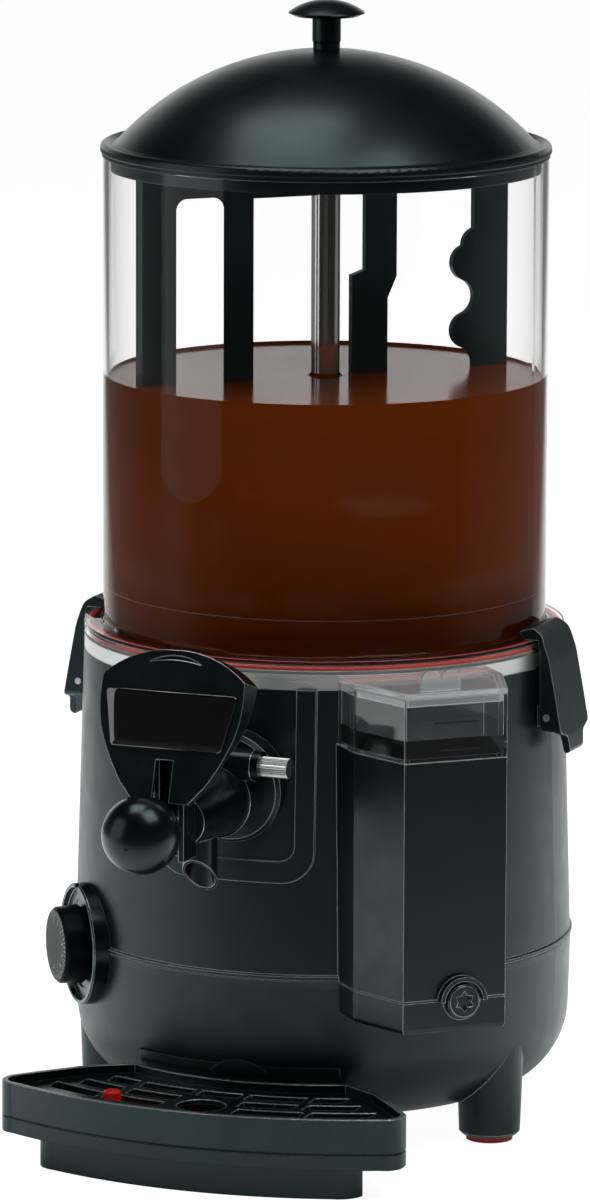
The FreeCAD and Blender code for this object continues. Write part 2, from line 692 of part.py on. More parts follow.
casing_shell = turned(
    "casing_shell",
    (d.lip_outer, d.lip_foot),
    (d.lip_outer, d.seam),
    (d.seam_radius - d.seam_groove, d.seam),
    (d.seam_radius - d.seam_groove, d.seam + d.seam_gap),
    (d.seam_radius, d.seam + d.seam_gap),
    (d.seam_radius, d.seam + d.seam_step),
    (d.casing_low_radius, d.casing_low),
    (d.casing_top_radius, d.casing_top),
    (d.casing_ledge_radius, d.casing_top),
    (d.casing_ledge_radius, d.casing_top - d.casing_wall),
    (d.casing_top_radius - d.casing_wall, d.casing_top - d.casing_wall),
    (d.casing_low_radius - d.casing_wall, d.casing_low + d.casing_wall),
    (d.lip_inner, d.casing_low),
    (d.lip_inner, d.lip_foot))
column_wall = cut(
    "column_wall",
    stand(soft_foot(slab("column_block", d.column_top - d.column_foot,
                         column_outline(0, d.column_root)), d.casing_wall),
          z=d.column_foot, turn=d.column_turn),
    stand(slab("column_groove", d.seam_gap * 1.5, column_outline(-1, d.column_root),
               column_outline(d.seam_gap, d.column_root + 2)), z=d.seam - d.seam_gap / 2,
          turn=d.column_turn),
    stand(slab("column_space", d.column_top - d.column_foot,
               column_outline(d.casing_wall, d.column_root)),
          z=d.column_foot + d.casing_wall, turn=d.column_turn),
    casing_envelope("column_trim", d.leg_top, inset=1))
border_slab = face(slab(
    "border_slab", d.border_outer,
    soften([(-d.border_outer, d.casing_top), (-d.border_outer, d.border_outer_foot, d.border_outer_corner),
            (d.border_outer, d.border_outer_foot, d.border_outer_corner), (d.border_outer, d.casing_top),
            (d.border_inner, d.casing_top), (d.border_inner, d.border_inner_foot, d.border_inner_corner),
            (-d.border_inner, d.border_inner_foot, d.border_inner_corner), (-d.border_inner, d.casing_top)])),
    forward=d.casing_ledge_radius - d.casing_wall)
border_shell = turned(
    "border_shell",
    (d.casing_low_radius - 1, d.casing_low),
    (d.casing_low_radius + d.border_height, d.casing_low),
    (d.casing_top_radius + d.border_height, d.casing_top),
    (d.casing_top_radius - 1, d.casing_top))
latch_lugs = []
for side, turn in (("left", 180), ("right", 0)):
    lug = slab(
        f"lug_{side}_profile", d.lug_half_width * 2,
        [(d.casing_top_radius - 2, d.latch_pivot_z - d.lug_radius * 2),
         (d.latch_pivot_x, d.latch_pivot_z - d.lug_radius),
         Arc(d.lug_radius, left=False), (d.latch_pivot_x + d.lug_radius, d.latch_pivot_z),
         Arc(d.lug_radius, left=False), (d.latch_pivot_x, d.latch_pivot_z + d.lug_radius),
         (d.casing_top_radius - 2, d.latch_pivot_z + d.lug_radius * 2)])
    latch_lugs.append(stand(group(f"lug_{side}", face(lug, forward=-d.lug_half_width)), turn=turn))
pin_holes = [stand(group(f"pin_hole_{side}", face(
    rod(f"pin_hole_{side}_rod", d.latch_pin_radius, d.latch_half_width * 2), x=d.latch_pivot_x,
    forward=-d.latch_half_width, z=d.latch_pivot_z)), turn=turn)
    for side, turn in (("left", 180), ("right", 0))]
hood = face(slab(
    "hood_profile", d.hood_front - d.hood_foot,
    [(d.drain_ring_radius, 0), (d.hood_outer, 0), Arc(d.hood_outer, left=False), (0, d.hood_outer),
     Arc(d.hood_outer, left=False), (-d.hood_outer, 0), (-d.drain_ring_radius, 0),
     Arc(d.drain_ring_radius), (0, d.drain_ring_radius), Arc(d.drain_ring_radius)]),
    x=d.drain_side, forward=d.hood_foot, z=d.drain_height, turn=d.column_turn)
tap_hole = face(rod("tap_hole", d.pipe_outer, d.tap_forward), forward=d.tap_forward / 2,
                z=d.tap_height + d.tap_forward / 2 * tangent(d.tap_dip), dip=d.tap_dip)
dial_hole = face(rod("dial_hole", d.dial_hole_radius, d.border_outer), forward=d.casing_ledge_radius,
                 z=d.dial_height, turn=d.dial_turn)
drain_hole = face(rod("drain_hole", d.drain_ring_radius, d.casing_wall * 4), x=d.drain_side,
                  forward=d.column_front - d.casing_wall * 2, z=d.drain_height, turn=d.column_turn)
drain_pipe_hole = face(rod("drain_pipe_hole", d.drain_pipe_outer, d.border_outer), x=d.drain_side,
                       forward=d.casing_ledge_radius - 2, z=d.drain_pipe_top, turn=d.column_turn)
feed_hole = face(rod("feed_hole", d.feed_outer, d.border_outer / 2), x=d.feed_side,
                 forward=d.casing_ledge_radius - 5, z=d.feed_height, turn=d.column_turn)
switch_hole = face(block("switch_hole", d.switch_half_width, -d.switch_half_height,
                         d.switch_half_height, d.border_outer / 2),
                   forward=d.casing_ledge_radius, z=d.switch_height, turn=180)
screw_turns = (125, 170, -125, -170)
upper_screw_holes, lower_screw_holes = [
    [face(rod(f"{name}_{index}", d.casing_screw_radius, d.leg_top / 4),
          forward=d.lip_inner - 2, z=d.casing_screw_height, turn=turn)
     for index, turn in enumerate(screw_turns)] for name in ("upper_screw_hole", "lower_screw_hole")]
node(cut("upper_casing_body",
         join("upper_casing_solid", casing_shell, column_wall,
              common("tap_border", border_slab, border_shell), *latch_lugs, hood),
         *pin_holes, tap_hole, dial_hole, drain_hole, drain_pipe_hole, feed_hole, switch_hole,
         *upper_screw_holes), "upper_casing")

base_shell = turned(
    "base_shell",
    (0, d.base_floor),
    (d.base_flat_radius, d.base_floor),
    Arc(d.base_bend, left=False), (d.base_flat_radius + d.base_bend, d.base_bend_top),
    (d.base_shoulder_radius, d.base_shoulder),
    (d.base_rim_radius, d.seam),
    (d.base_rim_inner, d.seam),
    (d.base_flat_radius + d.base_bend - d.casing_wall, d.base_bend_top),
    Arc(d.base_bend - d.casing_wall), (d.base_flat_radius, d.base_floor + d.casing_wall),
    (0, d.base_floor + d.casing_wall))
legs = []
for index, turn in enumerate(post_turns):
    leg = turned(
        f"leg_{index}_cone",
        (0, d.leg_foot),
        (d.leg_foot_radius - d.leg_chamfer, d.leg_foot),
        (d.leg_foot_radius, d.leg_foot + d.leg_chamfer),
        (d.leg_top_radius, d.leg_top),
        (0, d.leg_top))
    stand(leg, d.leg_distance * sine(turn), -(d.leg_distance * cosine(turn)))
    legs.append(common(f"leg_{index}", leg, rod(f"leg_{index}_trim", d.leg_trim_radius, d.leg_top)))
posts = [stand(rod(f"post_{index}", d.post_radius, d.plate_height - d.leg_top / 2),
               *post_spot(turn), d.leg_top / 2) for index, turn in enumerate(post_turns)]
post_holes = [stand(rod(f"post_hole_{index}", d.plate_screw_radius, d.plate_screw_reach),
                    *post_spot(turn), d.plate_height + d.plate_thickness - d.plate_screw_reach)
              for index, turn in enumerate(post_turns)]
pad_pockets = [stand(rod(f"pad_pocket_{index}", d.pad_radius, d.pad_height),
                     d.leg_distance * sine(turn), -(d.leg_distance * cosine(turn)))
               for index, turn in enumerate(post_turns)]
vents = [stand(slab(f"vent_{index}", d.casing_wall * 3,
                    rectangle(d.vent_half_width, -d.vent_width / 2, d.vent_width / 2)),
               y=(d.vent_first + d.vent_pitch * (index // 2)) * (1 if index % 2 else -1),
               z=d.base_floor - d.casing_wall) for index in range(6)]
base_dial_hole = face(rod("base_dial_hole", d.dial_hole_radius, d.border_outer),
                      forward=d.casing_ledge_radius, z=d.dial_height, turn=d.dial_turn)
gland_hole = face(rod("gland_hole", d.gland_radius, d.border_outer / 2),
                  forward=d.casing_ledge_radius, z=d.gland_height, turn=180)
node(cut("lower_casing_body",
         join("lower_casing_solid", base_shell, *legs, *posts),
         *post_holes, *pad_pockets, *vents, base_dial_hole, gland_hole, *lower_screw_holes),
     "lower_casing")
node(group("foot_pads_body", *[
    stand(rod(f"foot_pad_{index}", d.pad_radius, d.pad_height),
          d.leg_distance * sine(turn), -(d.leg_distance * cosine(turn)))
    for index, turn in enumerate(post_turns)]), "foot_pads")
d.add(casing_screw_foot=123, casing_screw_head_radius=3.2, casing_screw_seat=129.4,
      casing_screw_top=130.8)
node(group("casing_screws_body", *[
    face(turned(f"casing_screw_{index}",
                (0, d.casing_screw_foot),
                (d.casing_screw_radius, d.casing_screw_foot),
                (d.casing_screw_radius, d.casing_screw_seat),
                (d.casing_screw_head_radius, d.casing_screw_seat),
                (d.casing_screw_head_radius, d.casing_screw_top),
                (0, d.casing_screw_top)), z=d.casing_screw_height, turn=turn)
    for index, turn in enumerate(screw_turns)]), "casing_screws")

# ------------------------------------------------------------------ outlet pipe, pot and jacket


def in_tap(item, along=0, up=0, x=0):
    """Laid along the tap, which dips to the front; along and up are measured from its ring."""
    along, up = as_size(along), as_size(up)
    return face(item, x, d.tap_forward + along * cosine(d.tap_dip) + up * sine(d.tap_dip),
                d.tap_height - along * sine(d.tap_dip) + up * cosine(d.tap_dip), dip=d.tap_dip)


d.add(pipe_back=-40, pipe_front=20)
pot_space = turned(
    "pot_space",
    (0, d.pot_floor + d.steel),
    (pot_inner - d.pot_corner, d.pot_floor + d.steel),
    (pot_inner, d.pot_floor + d.steel + d.pot_corner),
    (pot_inner, d.rim_top),
    (0, d.rim_top))
outlet_tube = cut("outlet_tube",
                  in_tap(rod("outlet_bar", d.pipe_outer, d.pipe_front - d.pipe_back), d.pipe_back),
                  in_tap(rod("outlet_bore", d.pipe_inner, d.pipe_front - d.pipe_back + 2),
                         d.pipe_back - 1))
node(cut("outlet_body", outlet_tube, pot_space), "outlet_pipe")
pot_hole, jacket_hole = [in_tap(rod(name, d.pipe_outer, d.pipe_front - d.pipe_back), d.pipe_back)
                         for name in ("pot_hole", "jacket_hole")]
pot_shaft_hole, jacket_shaft_hole = [stand(rod(name, d.tube_radius, d.pot_floor), z=d.tube_foot)
                                     for name in ("pot_shaft_hole", "jacket_shaft_hole")]
node(cut("pot_body", pot_shell, pot_hole), "chocolate_pot")
jacket_drain_hole = face(rod("jacket_drain_hole", d.drain_pipe_outer, d.border_outer),
                         x=d.drain_side, forward=d.base_flat_radius + 20, z=d.drain_pipe_top,
                         turn=d.column_turn)
jacket_feed_hole = face(rod("jacket_feed_hole", d.feed_outer, d.border_outer), x=d.feed_side,
                        forward=d.base_flat_radius + 20, z=d.feed_height, turn=d.column_turn)
node(cut("jacket_body", jacket_shell, jacket_hole, jacket_drain_hole, jacket_feed_hole,
         *heater_holes), "water_jacket")

# ------------------------------------------------------------------ water filler and its drain

d.add(box_top=250, box_wall=2, box_back=127.3, bucket_inset=3.6, bucket_back=130.5,
      bucket_foot=140, box_floor=2)
d.add(lid_plate=2.6, lid_rib=2, lid_rib_depth=4, grip_half_width=5.2, grip_height=12,
      grip_thickness=2, grip_forward=173, grip_side=-6.5, grip_spacing=10.4)

reservoir_solid = join(
    "reservoir_solid",
    stand(slab("box_block", d.box_top - d.column_top, column_outline(0, d.box_back)),
          z=d.column_top, turn=d.column_turn),
    stand(slab("bucket_block", d.column_top - d.bucket_foot + d.box_floor,
               column_outline(d.bucket_inset, d.bucket_back)), z=d.bucket_foot, turn=d.column_turn))
box_space = stand(slab("box_space", d.box_top - d.column_top,
                       column_outline(d.box_wall, d.box_back + d.box_wall)),
                  z=d.column_top + d.box_floor, turn=d.column_turn)
bucket_space = stand(slab("bucket_space", d.column_top - d.bucket_foot + d.box_floor,
                          column_outline(d.bucket_inset + d.box_wall, d.bucket_back + d.box_wall)),
                     z=d.bucket_foot + d.box_floor, turn=d.column_turn)
bucket_feed_hole = face(rod("bucket_feed_hole", d.feed_outer, d.border_outer / 2), x=d.feed_side,
                        forward=d.casing_ledge_radius, z=d.feed_height, turn=d.column_turn)
node(cut("reservoir_body", reservoir_solid, box_space, bucket_space, bucket_feed_hole),
     "reservoir_box")


def grip(name, side):
    """An upright finger grip: straight sides with a round top."""
    outline = [(d.grip_half_width, 0), (d.grip_half_width, d.grip_height - d.grip_half_width),
               Arc(d.grip_half_width, left=False), (0, d.grip_height),
               Arc(d.grip_half_width, left=False),
               (-d.grip_half_width, d.grip_height - d.grip_half_width), (-d.grip_half_width, 0)]
    return face(slab(name, d.grip_thickness, outline), x=side, forward=d.grip_forward,
                z=d.box_top + d.lid_plate / 2, turn=d.column_turn)


lid_rib_inset = d.box_wall + d.clearance
lid_rib_block = stand(slab("lid_rib_block", d.lid_rib_depth + 1,
                           column_outline(lid_rib_inset, d.box_back + lid_rib_inset)),
                      z=d.box_top - d.lid_rib_depth, turn=d.column_turn)
lid_rib_space = stand(slab("lid_rib_space", d.lid_rib_depth,
                           column_outline(lid_rib_inset + d.lid_rib,
                                          d.box_back + lid_rib_inset + d.lid_rib)),
                      z=d.box_top - d.lid_rib_depth, turn=d.column_turn)
node(join("reservoir_lid_body",
          stand(slab("lid_plate", d.lid_plate, column_outline(0, d.box_back)),
                z=d.box_top + d.clearance, turn=d.column_turn),
          cut("lid_ribs", lid_rib_block, lid_rib_space),
          grip("grip_left", d.grip_side - d.grip_spacing / 2),
          grip("grip_right", d.grip_side + d.grip_spacing / 2)), "reservoir_lid")

d.add(plug_radius=8.6, plug_shank=6.9, plug_tip=170, plug_seat=180.5, plug_front=184.5,
      plug_edge=0.8, plug_star_outer=5.2, plug_star_inner=3.3, plug_star_depth=2)
d.add(fitting_back=158, fitting_step=174, fitting_radius=9)
star = [((d.plug_star_outer if point % 2 else d.plug_star_inner) * cosine(30 * point),
         (d.plug_star_outer if point % 2 else d.plug_star_inner) * sine(30 * point))
        for point in range(12)]
at_drain = dict(x=d.drain_side, z=d.drain_height, turn=d.column_turn)
node(cut("plug_body",
         face(turned("plug_turned",
                     (0, d.plug_tip),
                     (d.plug_shank, d.plug_tip),
                     (d.plug_shank, d.plug_seat + d.clearance),
                     (d.plug_radius, d.plug_seat + d.clearance),
                     (d.plug_radius, d.plug_front - d.plug_edge),
                     (d.plug_radius - d.plug_edge, d.plug_front),
                     (0, d.plug_front)), **at_drain),
         face(slab("plug_star", d.plug_star_depth * 2, star),
              forward=d.plug_front - d.plug_star_depth, **at_drain)), "drain_plug")
node(face(turned("fitting_body",
                 (d.plug_shank + d.running_fit, d.plug_tip - 4),
                 (d.drain_pipe_inner, d.plug_tip - 4),
                 (d.drain_pipe_inner, d.fitting_back),
                 (d.fitting_radius, d.fitting_back),
                 (d.fitting_radius, d.fitting_step),
                 (d.drain_ring_radius, d.fitting_step),
                 (d.drain_ring_radius, d.plug_seat),
                 (d.plug_shank + d.running_fit, d.plug_seat)), **at_drain), "drain_fitting")


def bent_bar(name, radius, lead=0):
    """The run of the drain: back from the fitting, up, and on into the jacket."""
    level = dict(x=d.drain_side, turn=d.column_turn)
    elbows = []
    for place, height in (("low", d.drain_height), ("high", d.drain_pipe_top)):
        elbow = doc.addObject("Part::Sphere", f"{name}_elbow_{place}")
        bind(elbow, "Radius", radius)
        elbows.append(face(elbow, forward=d.drain_pipe_rise, z=height, **level))
    return join(
        name,
        face(rod(name + "_front", radius, d.fitting_back - d.drain_pipe_rise + lead),
             forward=d.drain_pipe_rise, z=d.drain_height, **level),
        stand(rod(name + "_rise", radius, d.drain_pipe_top - d.drain_height),
              x=d.drain_side, y=-d.drain_pipe_rise, z=d.drain_height, turn=d.column_turn),
        face(rod(name + "_back", radius, d.drain_pipe_rise - d.jacket_radius + d.steel + lead),
             forward=d.jacket_radius - d.steel - lead, z=d.drain_pipe_top, **level), *elbows)


node(cut("drain_pipe_body", bent_bar("drain_pipe_outside", d.drain_pipe_outer),
         bent_bar("drain_pipe_bore", d.drain_pipe_inner, lead=1)), "drain_pipe")
feed_length = d.bucket_back + d.box_wall - d.jacket_radius + d.steel
node(cut("feed_body",
         face(rod("feed_bar", d.feed_outer, feed_length), x=d.feed_side,
              forward=d.jacket_radius - d.steel, z=d.feed_height, turn=d.column_turn),
         face(rod("feed_bore", d.feed_inner, feed_length + 2), x=d.feed_side,
              forward=d.jacket_radius - d.steel - 1, z=d.feed_height, turn=d.column_turn)),
     "jacket_pipe")

# ------------------------------------------------------------------ latches

d.add(latch_hook_tip=114.8, latch_hook_top=263.6, latch_crest_x=121.5, latch_crest=265.5,
      latch_brow_x=127, latch_brow=262, latch_upper_x=131.2, latch_upper=250,
      latch_lower_x=135.2, latch_lower=229, latch_wrist_x=138.6, latch_wrist=210,
      latch_tip_x=139.5, latch_tip_top=201.5, latch_tip_foot=198.5, latch_tip_half=8.5,
      latch_tip_waist=11.5, latch_neck=212.5, latch_shoulder=258, latch_top_half=17.5,
      latch_cheek=3.3)
hook_foot = flange_top + d.clearance
latch_cheek_x = d.latch_pivot_x + d.lug_radius + 1
for side, turn in (("left", 180), ("right", 0)):
    width = d.latch_half_width * 2
    profile = face(slab(
        f"latch_{side}_profile", width,
        soften([(d.latch_hook_tip, hook_foot + 2.8), (d.latch_hook_tip + 2.6, hook_foot),
                (d.rim_radius + 1, hook_foot), (d.rim_radius + 2.2, hook_foot - 7),
                (d.rim_radius + 2.4, d.latch_pivot_z - 3.8),
                (d.rim_radius + 3.5, d.latch_pivot_z - 7.2),
                (latch_cheek_x, d.latch_pivot_z - 7.2), (d.latch_tip_x - 3.5, d.latch_tip_foot, 1.5),
                (d.latch_tip_x, d.latch_tip_top, 2.5), (d.latch_wrist_x, d.latch_wrist, 30),
                (d.latch_lower_x, d.latch_lower, 60), (d.latch_upper_x, d.latch_upper, 40),
                (d.latch_brow_x, d.latch_brow, 6), (d.latch_crest_x, d.latch_crest, 3),
                (d.latch_hook_tip, d.latch_hook_top)])),
        forward=-d.latch_half_width)
    inside = face(slab(
        f"latch_{side}_inside", width - d.latch_cheek * 2,
        [(d.rim_radius - 4, d.latch_pivot_z - 9), (latch_cheek_x, d.latch_pivot_z - 7.2),
         (d.latch_wrist_x - 3, d.latch_pivot_z - 6), (d.latch_lower_x - 2.3, d.latch_lower),
         (d.latch_upper_x - 2.3, d.latch_upper), (d.latch_brow_x - 0.5, d.bowl_foot),
         (d.rim_radius - 4, d.bowl_foot)]),
        forward=-(d.latch_half_width - d.latch_cheek))
    outline = side_on(slab(
        f"latch_{side}_front", width,
        soften(mirrored([(d.latch_tip_half, d.latch_tip_foot - 0.5, 5),
                         (d.latch_tip_waist, d.latch_neck - 3, 3),
                         (d.latch_half_width, d.latch_neck, 3),
                         (d.latch_half_width, d.latch_shoulder, 8),
                         (d.latch_top_half, d.latch_crest + 1)]))), x=d.latch_hook_tip - 5)
    bore = face(rod(f"latch_{side}_bore", d.latch_pin_radius + d.running_fit, width),
                x=d.latch_pivot_x, forward=-d.latch_half_width, z=d.latch_pivot_z)
    node(stand(cut(f"latch_{side}_body", common(f"latch_{side}_solid", profile, outline),
                   inside, bore), turn=turn), f"latch_{side}")
    node(stand(group(f"latch_{side}_pin_body", face(
        rod(f"latch_{side}_pin_bar", d.latch_pin_radius, width), x=d.latch_pivot_x,
        forward=-d.latch_half_width, z=d.latch_pivot_z)), turn=turn), f"latch_pin_{side}")

# ------------------------------------------------------------------ tap

d.add(tap_ring_radius=28.8, tap_ring_back=-8, tap_ring_front=8, tap_ring_lip=2)
d.add(socket_radius=21, socket_front=27, socket_bore=11, boss_radius=8, boss_along=22.6,
      boss_up=17.4, boss_half_length=22.2, boss_gap=5.3)
d.add(barrel_back=27.2, barrel_radius=20, barrel_tip_radius=13, barrel_front=68.2, barrel_bore=10,
      barrel_bore_front=66, rod_hole=2.9)
d.add(spout_along=42.2, spout_outer=8.75, spout_inner=7.5, spout_front_lip=166, spout_rear_lip=147.6,
      spout_y=168)
d.add(piston_radius=9.7, piston_back=31.5, piston_front=52, piston_rod=2.5, piston_rod_end=84,
      seal_radius=9.95, seal_width=2.4, seal_depth=1.6, collar_radius=4.6)
d.add(screw_shank=3, screw_collar_radius=7.5, screw_collar_end=26.2, screw_knurl_radius=5.1,
      screw_knurl_end=40.8, screw_knurls=30)
d.add(pin_forward=199, pin_height=240, pin_radius=2, pin_half_length=8)

tap_ring_trim = casing_envelope("tap_ring_trim", d.leg_top)
ring_bore = in_tap(rod("ring_bore", d.pipe_outer, d.tap_ring_radius), d.tap_ring_back - 2)
node(cut("tap_ring_body",
         in_tap(turned("tap_ring_turned",
                       (0, d.tap_ring_back),
                       (d.tap_ring_radius, d.tap_ring_back),
                       (d.tap_ring_radius, d.tap_ring_front - d.tap_ring_lip),
                       (d.tap_ring_radius - d.tap_ring_lip, d.tap_ring_front),
                       (0, d.tap_ring_front))),
         tap_ring_trim, ring_bore), "tap_ring")
boss_bar = side_on(rod("boss_bar", d.boss_radius, d.boss_half_length * 2), x=-d.boss_half_length,
                   y=-(d.tap_forward + d.boss_along * cosine(d.tap_dip)
                       + d.boss_up * sine(d.tap_dip)),
                   z=d.tap_height - d.boss_along * sine(d.tap_dip) + d.boss_up * cosine(d.tap_dip))
boss_spot = spots["boss_bar"][1:]
boss_slot = in_tap(block("boss_slot", d.boss_gap, 0, d.boss_radius * 2, d.socket_radius),
                   d.boss_along - d.boss_radius - 1, up=d.pipe_outer + 1)
boss_hole = side_on(rod("boss_hole", d.screw_shank, d.boss_half_length * 2), -d.boss_half_length,
                    *boss_spot)
node(cut("socket_body",
         join("socket_solid",
              in_tap(rod("socket_bar", d.socket_radius, d.socket_front - d.tap_ring_front),
                     d.tap_ring_front), boss_bar),
         in_tap(rod("socket_step", d.pipe_outer, d.pipe_front - d.tap_ring_front + 1),
                d.tap_ring_front - 1),
         in_tap(rod("socket_hole", d.socket_bore, d.socket_front), d.tap_ring_front),
         boss_slot, boss_hole), "tap_socket")

lug_bar = side_on(rod("lug_bar", d.boss_radius - 1, (d.boss_gap - d.clearance) * 2),
                  -(d.boss_gap - d.clearance), *boss_spot)
lug_web = in_tap(block("lug_web", d.boss_gap - d.clearance, 0, d.boss_up - 1.6,
                       d.boss_radius * 1.4), d.barrel_back, up=d.boss_radius)
barrel_cone = cut(
    "barrel_cone",
    in_tap(taper("barrel_taper", d.barrel_radius, d.barrel_tip_radius,
                 d.barrel_front - d.barrel_back), d.barrel_back),
    side_on(rod("boss_relief", d.boss_radius + d.clearance, d.boss_half_length * 2),
            -d.boss_half_length, *boss_spot))
spout_bar = stand(rod("spout_bar", d.spout_outer, d.tap_height - d.spout_rear_lip),
                  y=-d.spout_y, z=d.spout_rear_lip)
spout_bevel = side_on(slab(
    "spout_bevel", d.spout_outer * 4,
    [(d.spout_outer, 0), (-d.spout_outer, d.spout_front_lip - d.spout_rear_lip),
     (-d.spout_outer * 2, d.spout_front_lip - d.spout_rear_lip), (-d.spout_outer * 2, -5),
     (d.spout_outer, -5)]), x=-d.spout_outer * 2, y=-d.spout_y, z=d.spout_rear_lip)
spout_hole = stand(rod("spout_hole", d.spout_inner, d.tap_height - d.spout_rear_lip + 2),
                   y=-d.spout_y, z=d.spout_rear_lip - 2)
lug_trim = in_tap(block("lug_trim", d.boss_radius, 0, d.pipe_outer + 1 + d.clearance,
                        d.boss_radius * 2 + 1 + d.clearance),
                  d.boss_along - d.boss_radius - 1)
lug_solid = cut("lug_solid", join("lug_pieces", lug_bar, lug_web), lug_trim)
lug_hole = side_on(rod("lug_hole", d.screw_shank + d.running_fit, d.socket_radius),
                   -d.socket_radius / 2, *boss_spot)
node(cut("barrel_body",
         join("barrel_solid", barrel_cone, cut("spout_cut", spout_bar, spout_bevel), lug_solid),
         in_tap(rod("barrel_hole", d.barrel_bore, d.barrel_bore_front - d.barrel_back + 5),
                d.barrel_back - 5),
         in_tap(rod("barrel_rod_hole", d.rod_hole, d.socket_radius), d.barrel_bore_front - 5),
         spout_hole, lug_hole), "tap_barrel")

knurl_step = as_size(180) / d.screw_knurls
knurls = [(d.screw_knurl_radius * (1 if point % 2 else 0.94) * cosine(knurl_step * point),
           d.screw_knurl_radius * (1 if point % 2 else 0.94) * sine(knurl_step * point))
          for point in range(60)]
screw_x = d.boss_half_length
node(join("thumb_screw_body",
          side_on(rod("screw_shank_bar", d.screw_shank - d.running_fit,
                      d.boss_half_length * 2 - 3), -(d.boss_half_length - 4), *boss_spot),
          side_on(rod("screw_collar", d.screw_collar_radius,
                      d.screw_collar_end - screw_x - 0.1), screw_x + 0.1, *boss_spot),
          side_on(slab("screw_knurl", d.screw_knurl_end - d.screw_collar_end, knurls),
                  d.screw_collar_end, *boss_spot)), "thumb_screw")

d.add(collar_back_start=68.8, collar_back_end=70.1, collar_front_start=80.1, collar_front_end=81.7)
node(in_tap(turned(
    "piston_body",
    (0, d.piston_back),
    (d.piston_radius, d.piston_back),
    (d.piston_radius, d.piston_back + 2),
    (d.seal_radius - d.seal_depth, d.piston_back + 2),
    (d.seal_radius - d.seal_depth, d.piston_back + 2 + d.seal_width),
    (d.piston_radius, d.piston_back + 2 + d.seal_width),
    (d.piston_radius, d.piston_front - 2 - d.seal_width),
    (d.seal_radius - d.seal_depth, d.piston_front - 2 - d.seal_width),
    (d.seal_radius - d.seal_depth, d.piston_front - 2),
    (d.piston_radius, d.piston_front - 2),
    (d.piston_radius, d.piston_front),
    (d.piston_rod, d.piston_front),
    (d.piston_rod, d.collar_back_start),
    (d.collar_radius, d.collar_back_start),
    (d.collar_radius, d.collar_back_end),
    (d.piston_rod, d.collar_back_end),
    (d.piston_rod, d.collar_front_start),
    (d.collar_radius, d.collar_front_start),
    (d.collar_radius, d.collar_front_end),
    (0, d.collar_front_end))), "valve_piston")
node(group("seals_body", *[
    in_tap(turned(f"seal_{place}",
                  (d.seal_radius - d.seal_depth, foot),
                  (d.seal_radius, foot),
                  (d.seal_radius, foot + d.seal_width),
                  (d.seal_radius - d.seal_depth, foot + d.seal_width)))
    for place, foot in (("back", d.piston_back + 2),
                        ("front", d.piston_front - 2 - d.seal_width))]), "piston_seals")

d.add(fork_half_width=8, fork_slot=5, fork_back=192, fork_web=195.6, fork_front=208.5,
      fork_foot=172, fork_bend=228, fork_top_front=203, fork_bend_top=236, fork_top=247)
fork_plate = side_on(slab(
    "fork_plate", d.fork_half_width * 2,
    [(-d.fork_front, d.fork_foot), (-d.fork_back, d.fork_foot), (-d.fork_back, d.fork_top),
     (-d.fork_top_front, d.fork_top), (-d.fork_top_front, d.fork_bend_top),
     (-d.fork_front, d.fork_bend)]), x=-d.fork_half_width)
fork_slot = side_on(slab(
    "fork_slot", d.fork_slot * 2,
    [(-d.fork_front - 1, d.fork_foot - 1), (-d.fork_web, d.fork_foot - 1),
     (-d.fork_web, d.fork_top + 1), (-d.fork_front - 1, d.fork_top + 1)]), x=-d.fork_slot)
fork_barrel = in_tap(taper("fork_barrel", d.barrel_radius, d.barrel_tip_radius,
                           d.barrel_front - d.barrel_back), d.barrel_back)
fork_rod_hole = in_tap(rod("fork_rod_hole", d.collar_radius + 0.5, d.socket_radius),
                       d.barrel_front - 5)
fork_pin_hole = side_on(rod("fork_pin_hole", d.pin_radius, d.pin_half_length * 4),
                        -d.pin_half_length * 2, -d.pin_forward, d.pin_height)
node(cut("fork_body", fork_plate, fork_slot, fork_barrel, fork_rod_hole, fork_pin_hole),
     "lever_fork")
node(side_on(rod("lever_pin_body", d.pin_radius, d.pin_half_length * 2), -d.pin_half_length,
             -d.pin_forward, d.pin_height), "lever_pin")

d.add(arm_half_width=2.6, arm_back=196.6, arm_front=202, arm_eye=4.6, arm_foot=183,
      handle_radius=3.5, handle_start=200, knob_forward=243.6, knob_height=192.2, ball_radius=19.5,
      handle_height=199.5, arm_lower_half=4.5, arm_lower_top=208, arm_slot_half=3.1,
      arm_slot_top=193)
arm_plate = side_on(slab(
    "arm_plate", d.arm_half_width * 2,
    [(-d.arm_front, d.arm_foot), (-d.arm_back, d.arm_foot), (-d.arm_back, d.pin_height - 4),
     (-(d.pin_forward - d.arm_eye + 1.6), d.pin_height),
     (-(d.pin_forward - 2), d.pin_height + d.arm_eye - 1),
     (-(d.pin_forward + 2), d.pin_height + d.arm_eye - 1),
     (-(d.pin_forward + d.arm_eye), d.pin_height), (-d.arm_front, d.pin_height - 6)]),
    x=-d.arm_half_width)
arm_reach = d.knob_forward - d.handle_start
arm_drop = d.handle_height - d.knob_height
handle_dip = math.degrees(math.atan2(arm_drop.value, arm_reach.value))
d.add(handle_dip=round(handle_dip, 3))
handle_bar = face(rod("handle_bar", d.handle_radius, root(arm_reach * arm_reach + arm_drop * arm_drop)
                      - d.ball_radius + 1), forward=d.handle_start, z=d.handle_height,
                  dip=d.handle_dip)
arm_lower = side_on(slab(
    "arm_lower", d.arm_lower_half * 2,
    [(-d.arm_front, d.arm_foot), (-d.arm_back, d.arm_foot), (-d.arm_back, d.arm_lower_top),
     (-d.arm_front, d.arm_lower_top)]), x=-d.arm_lower_half)
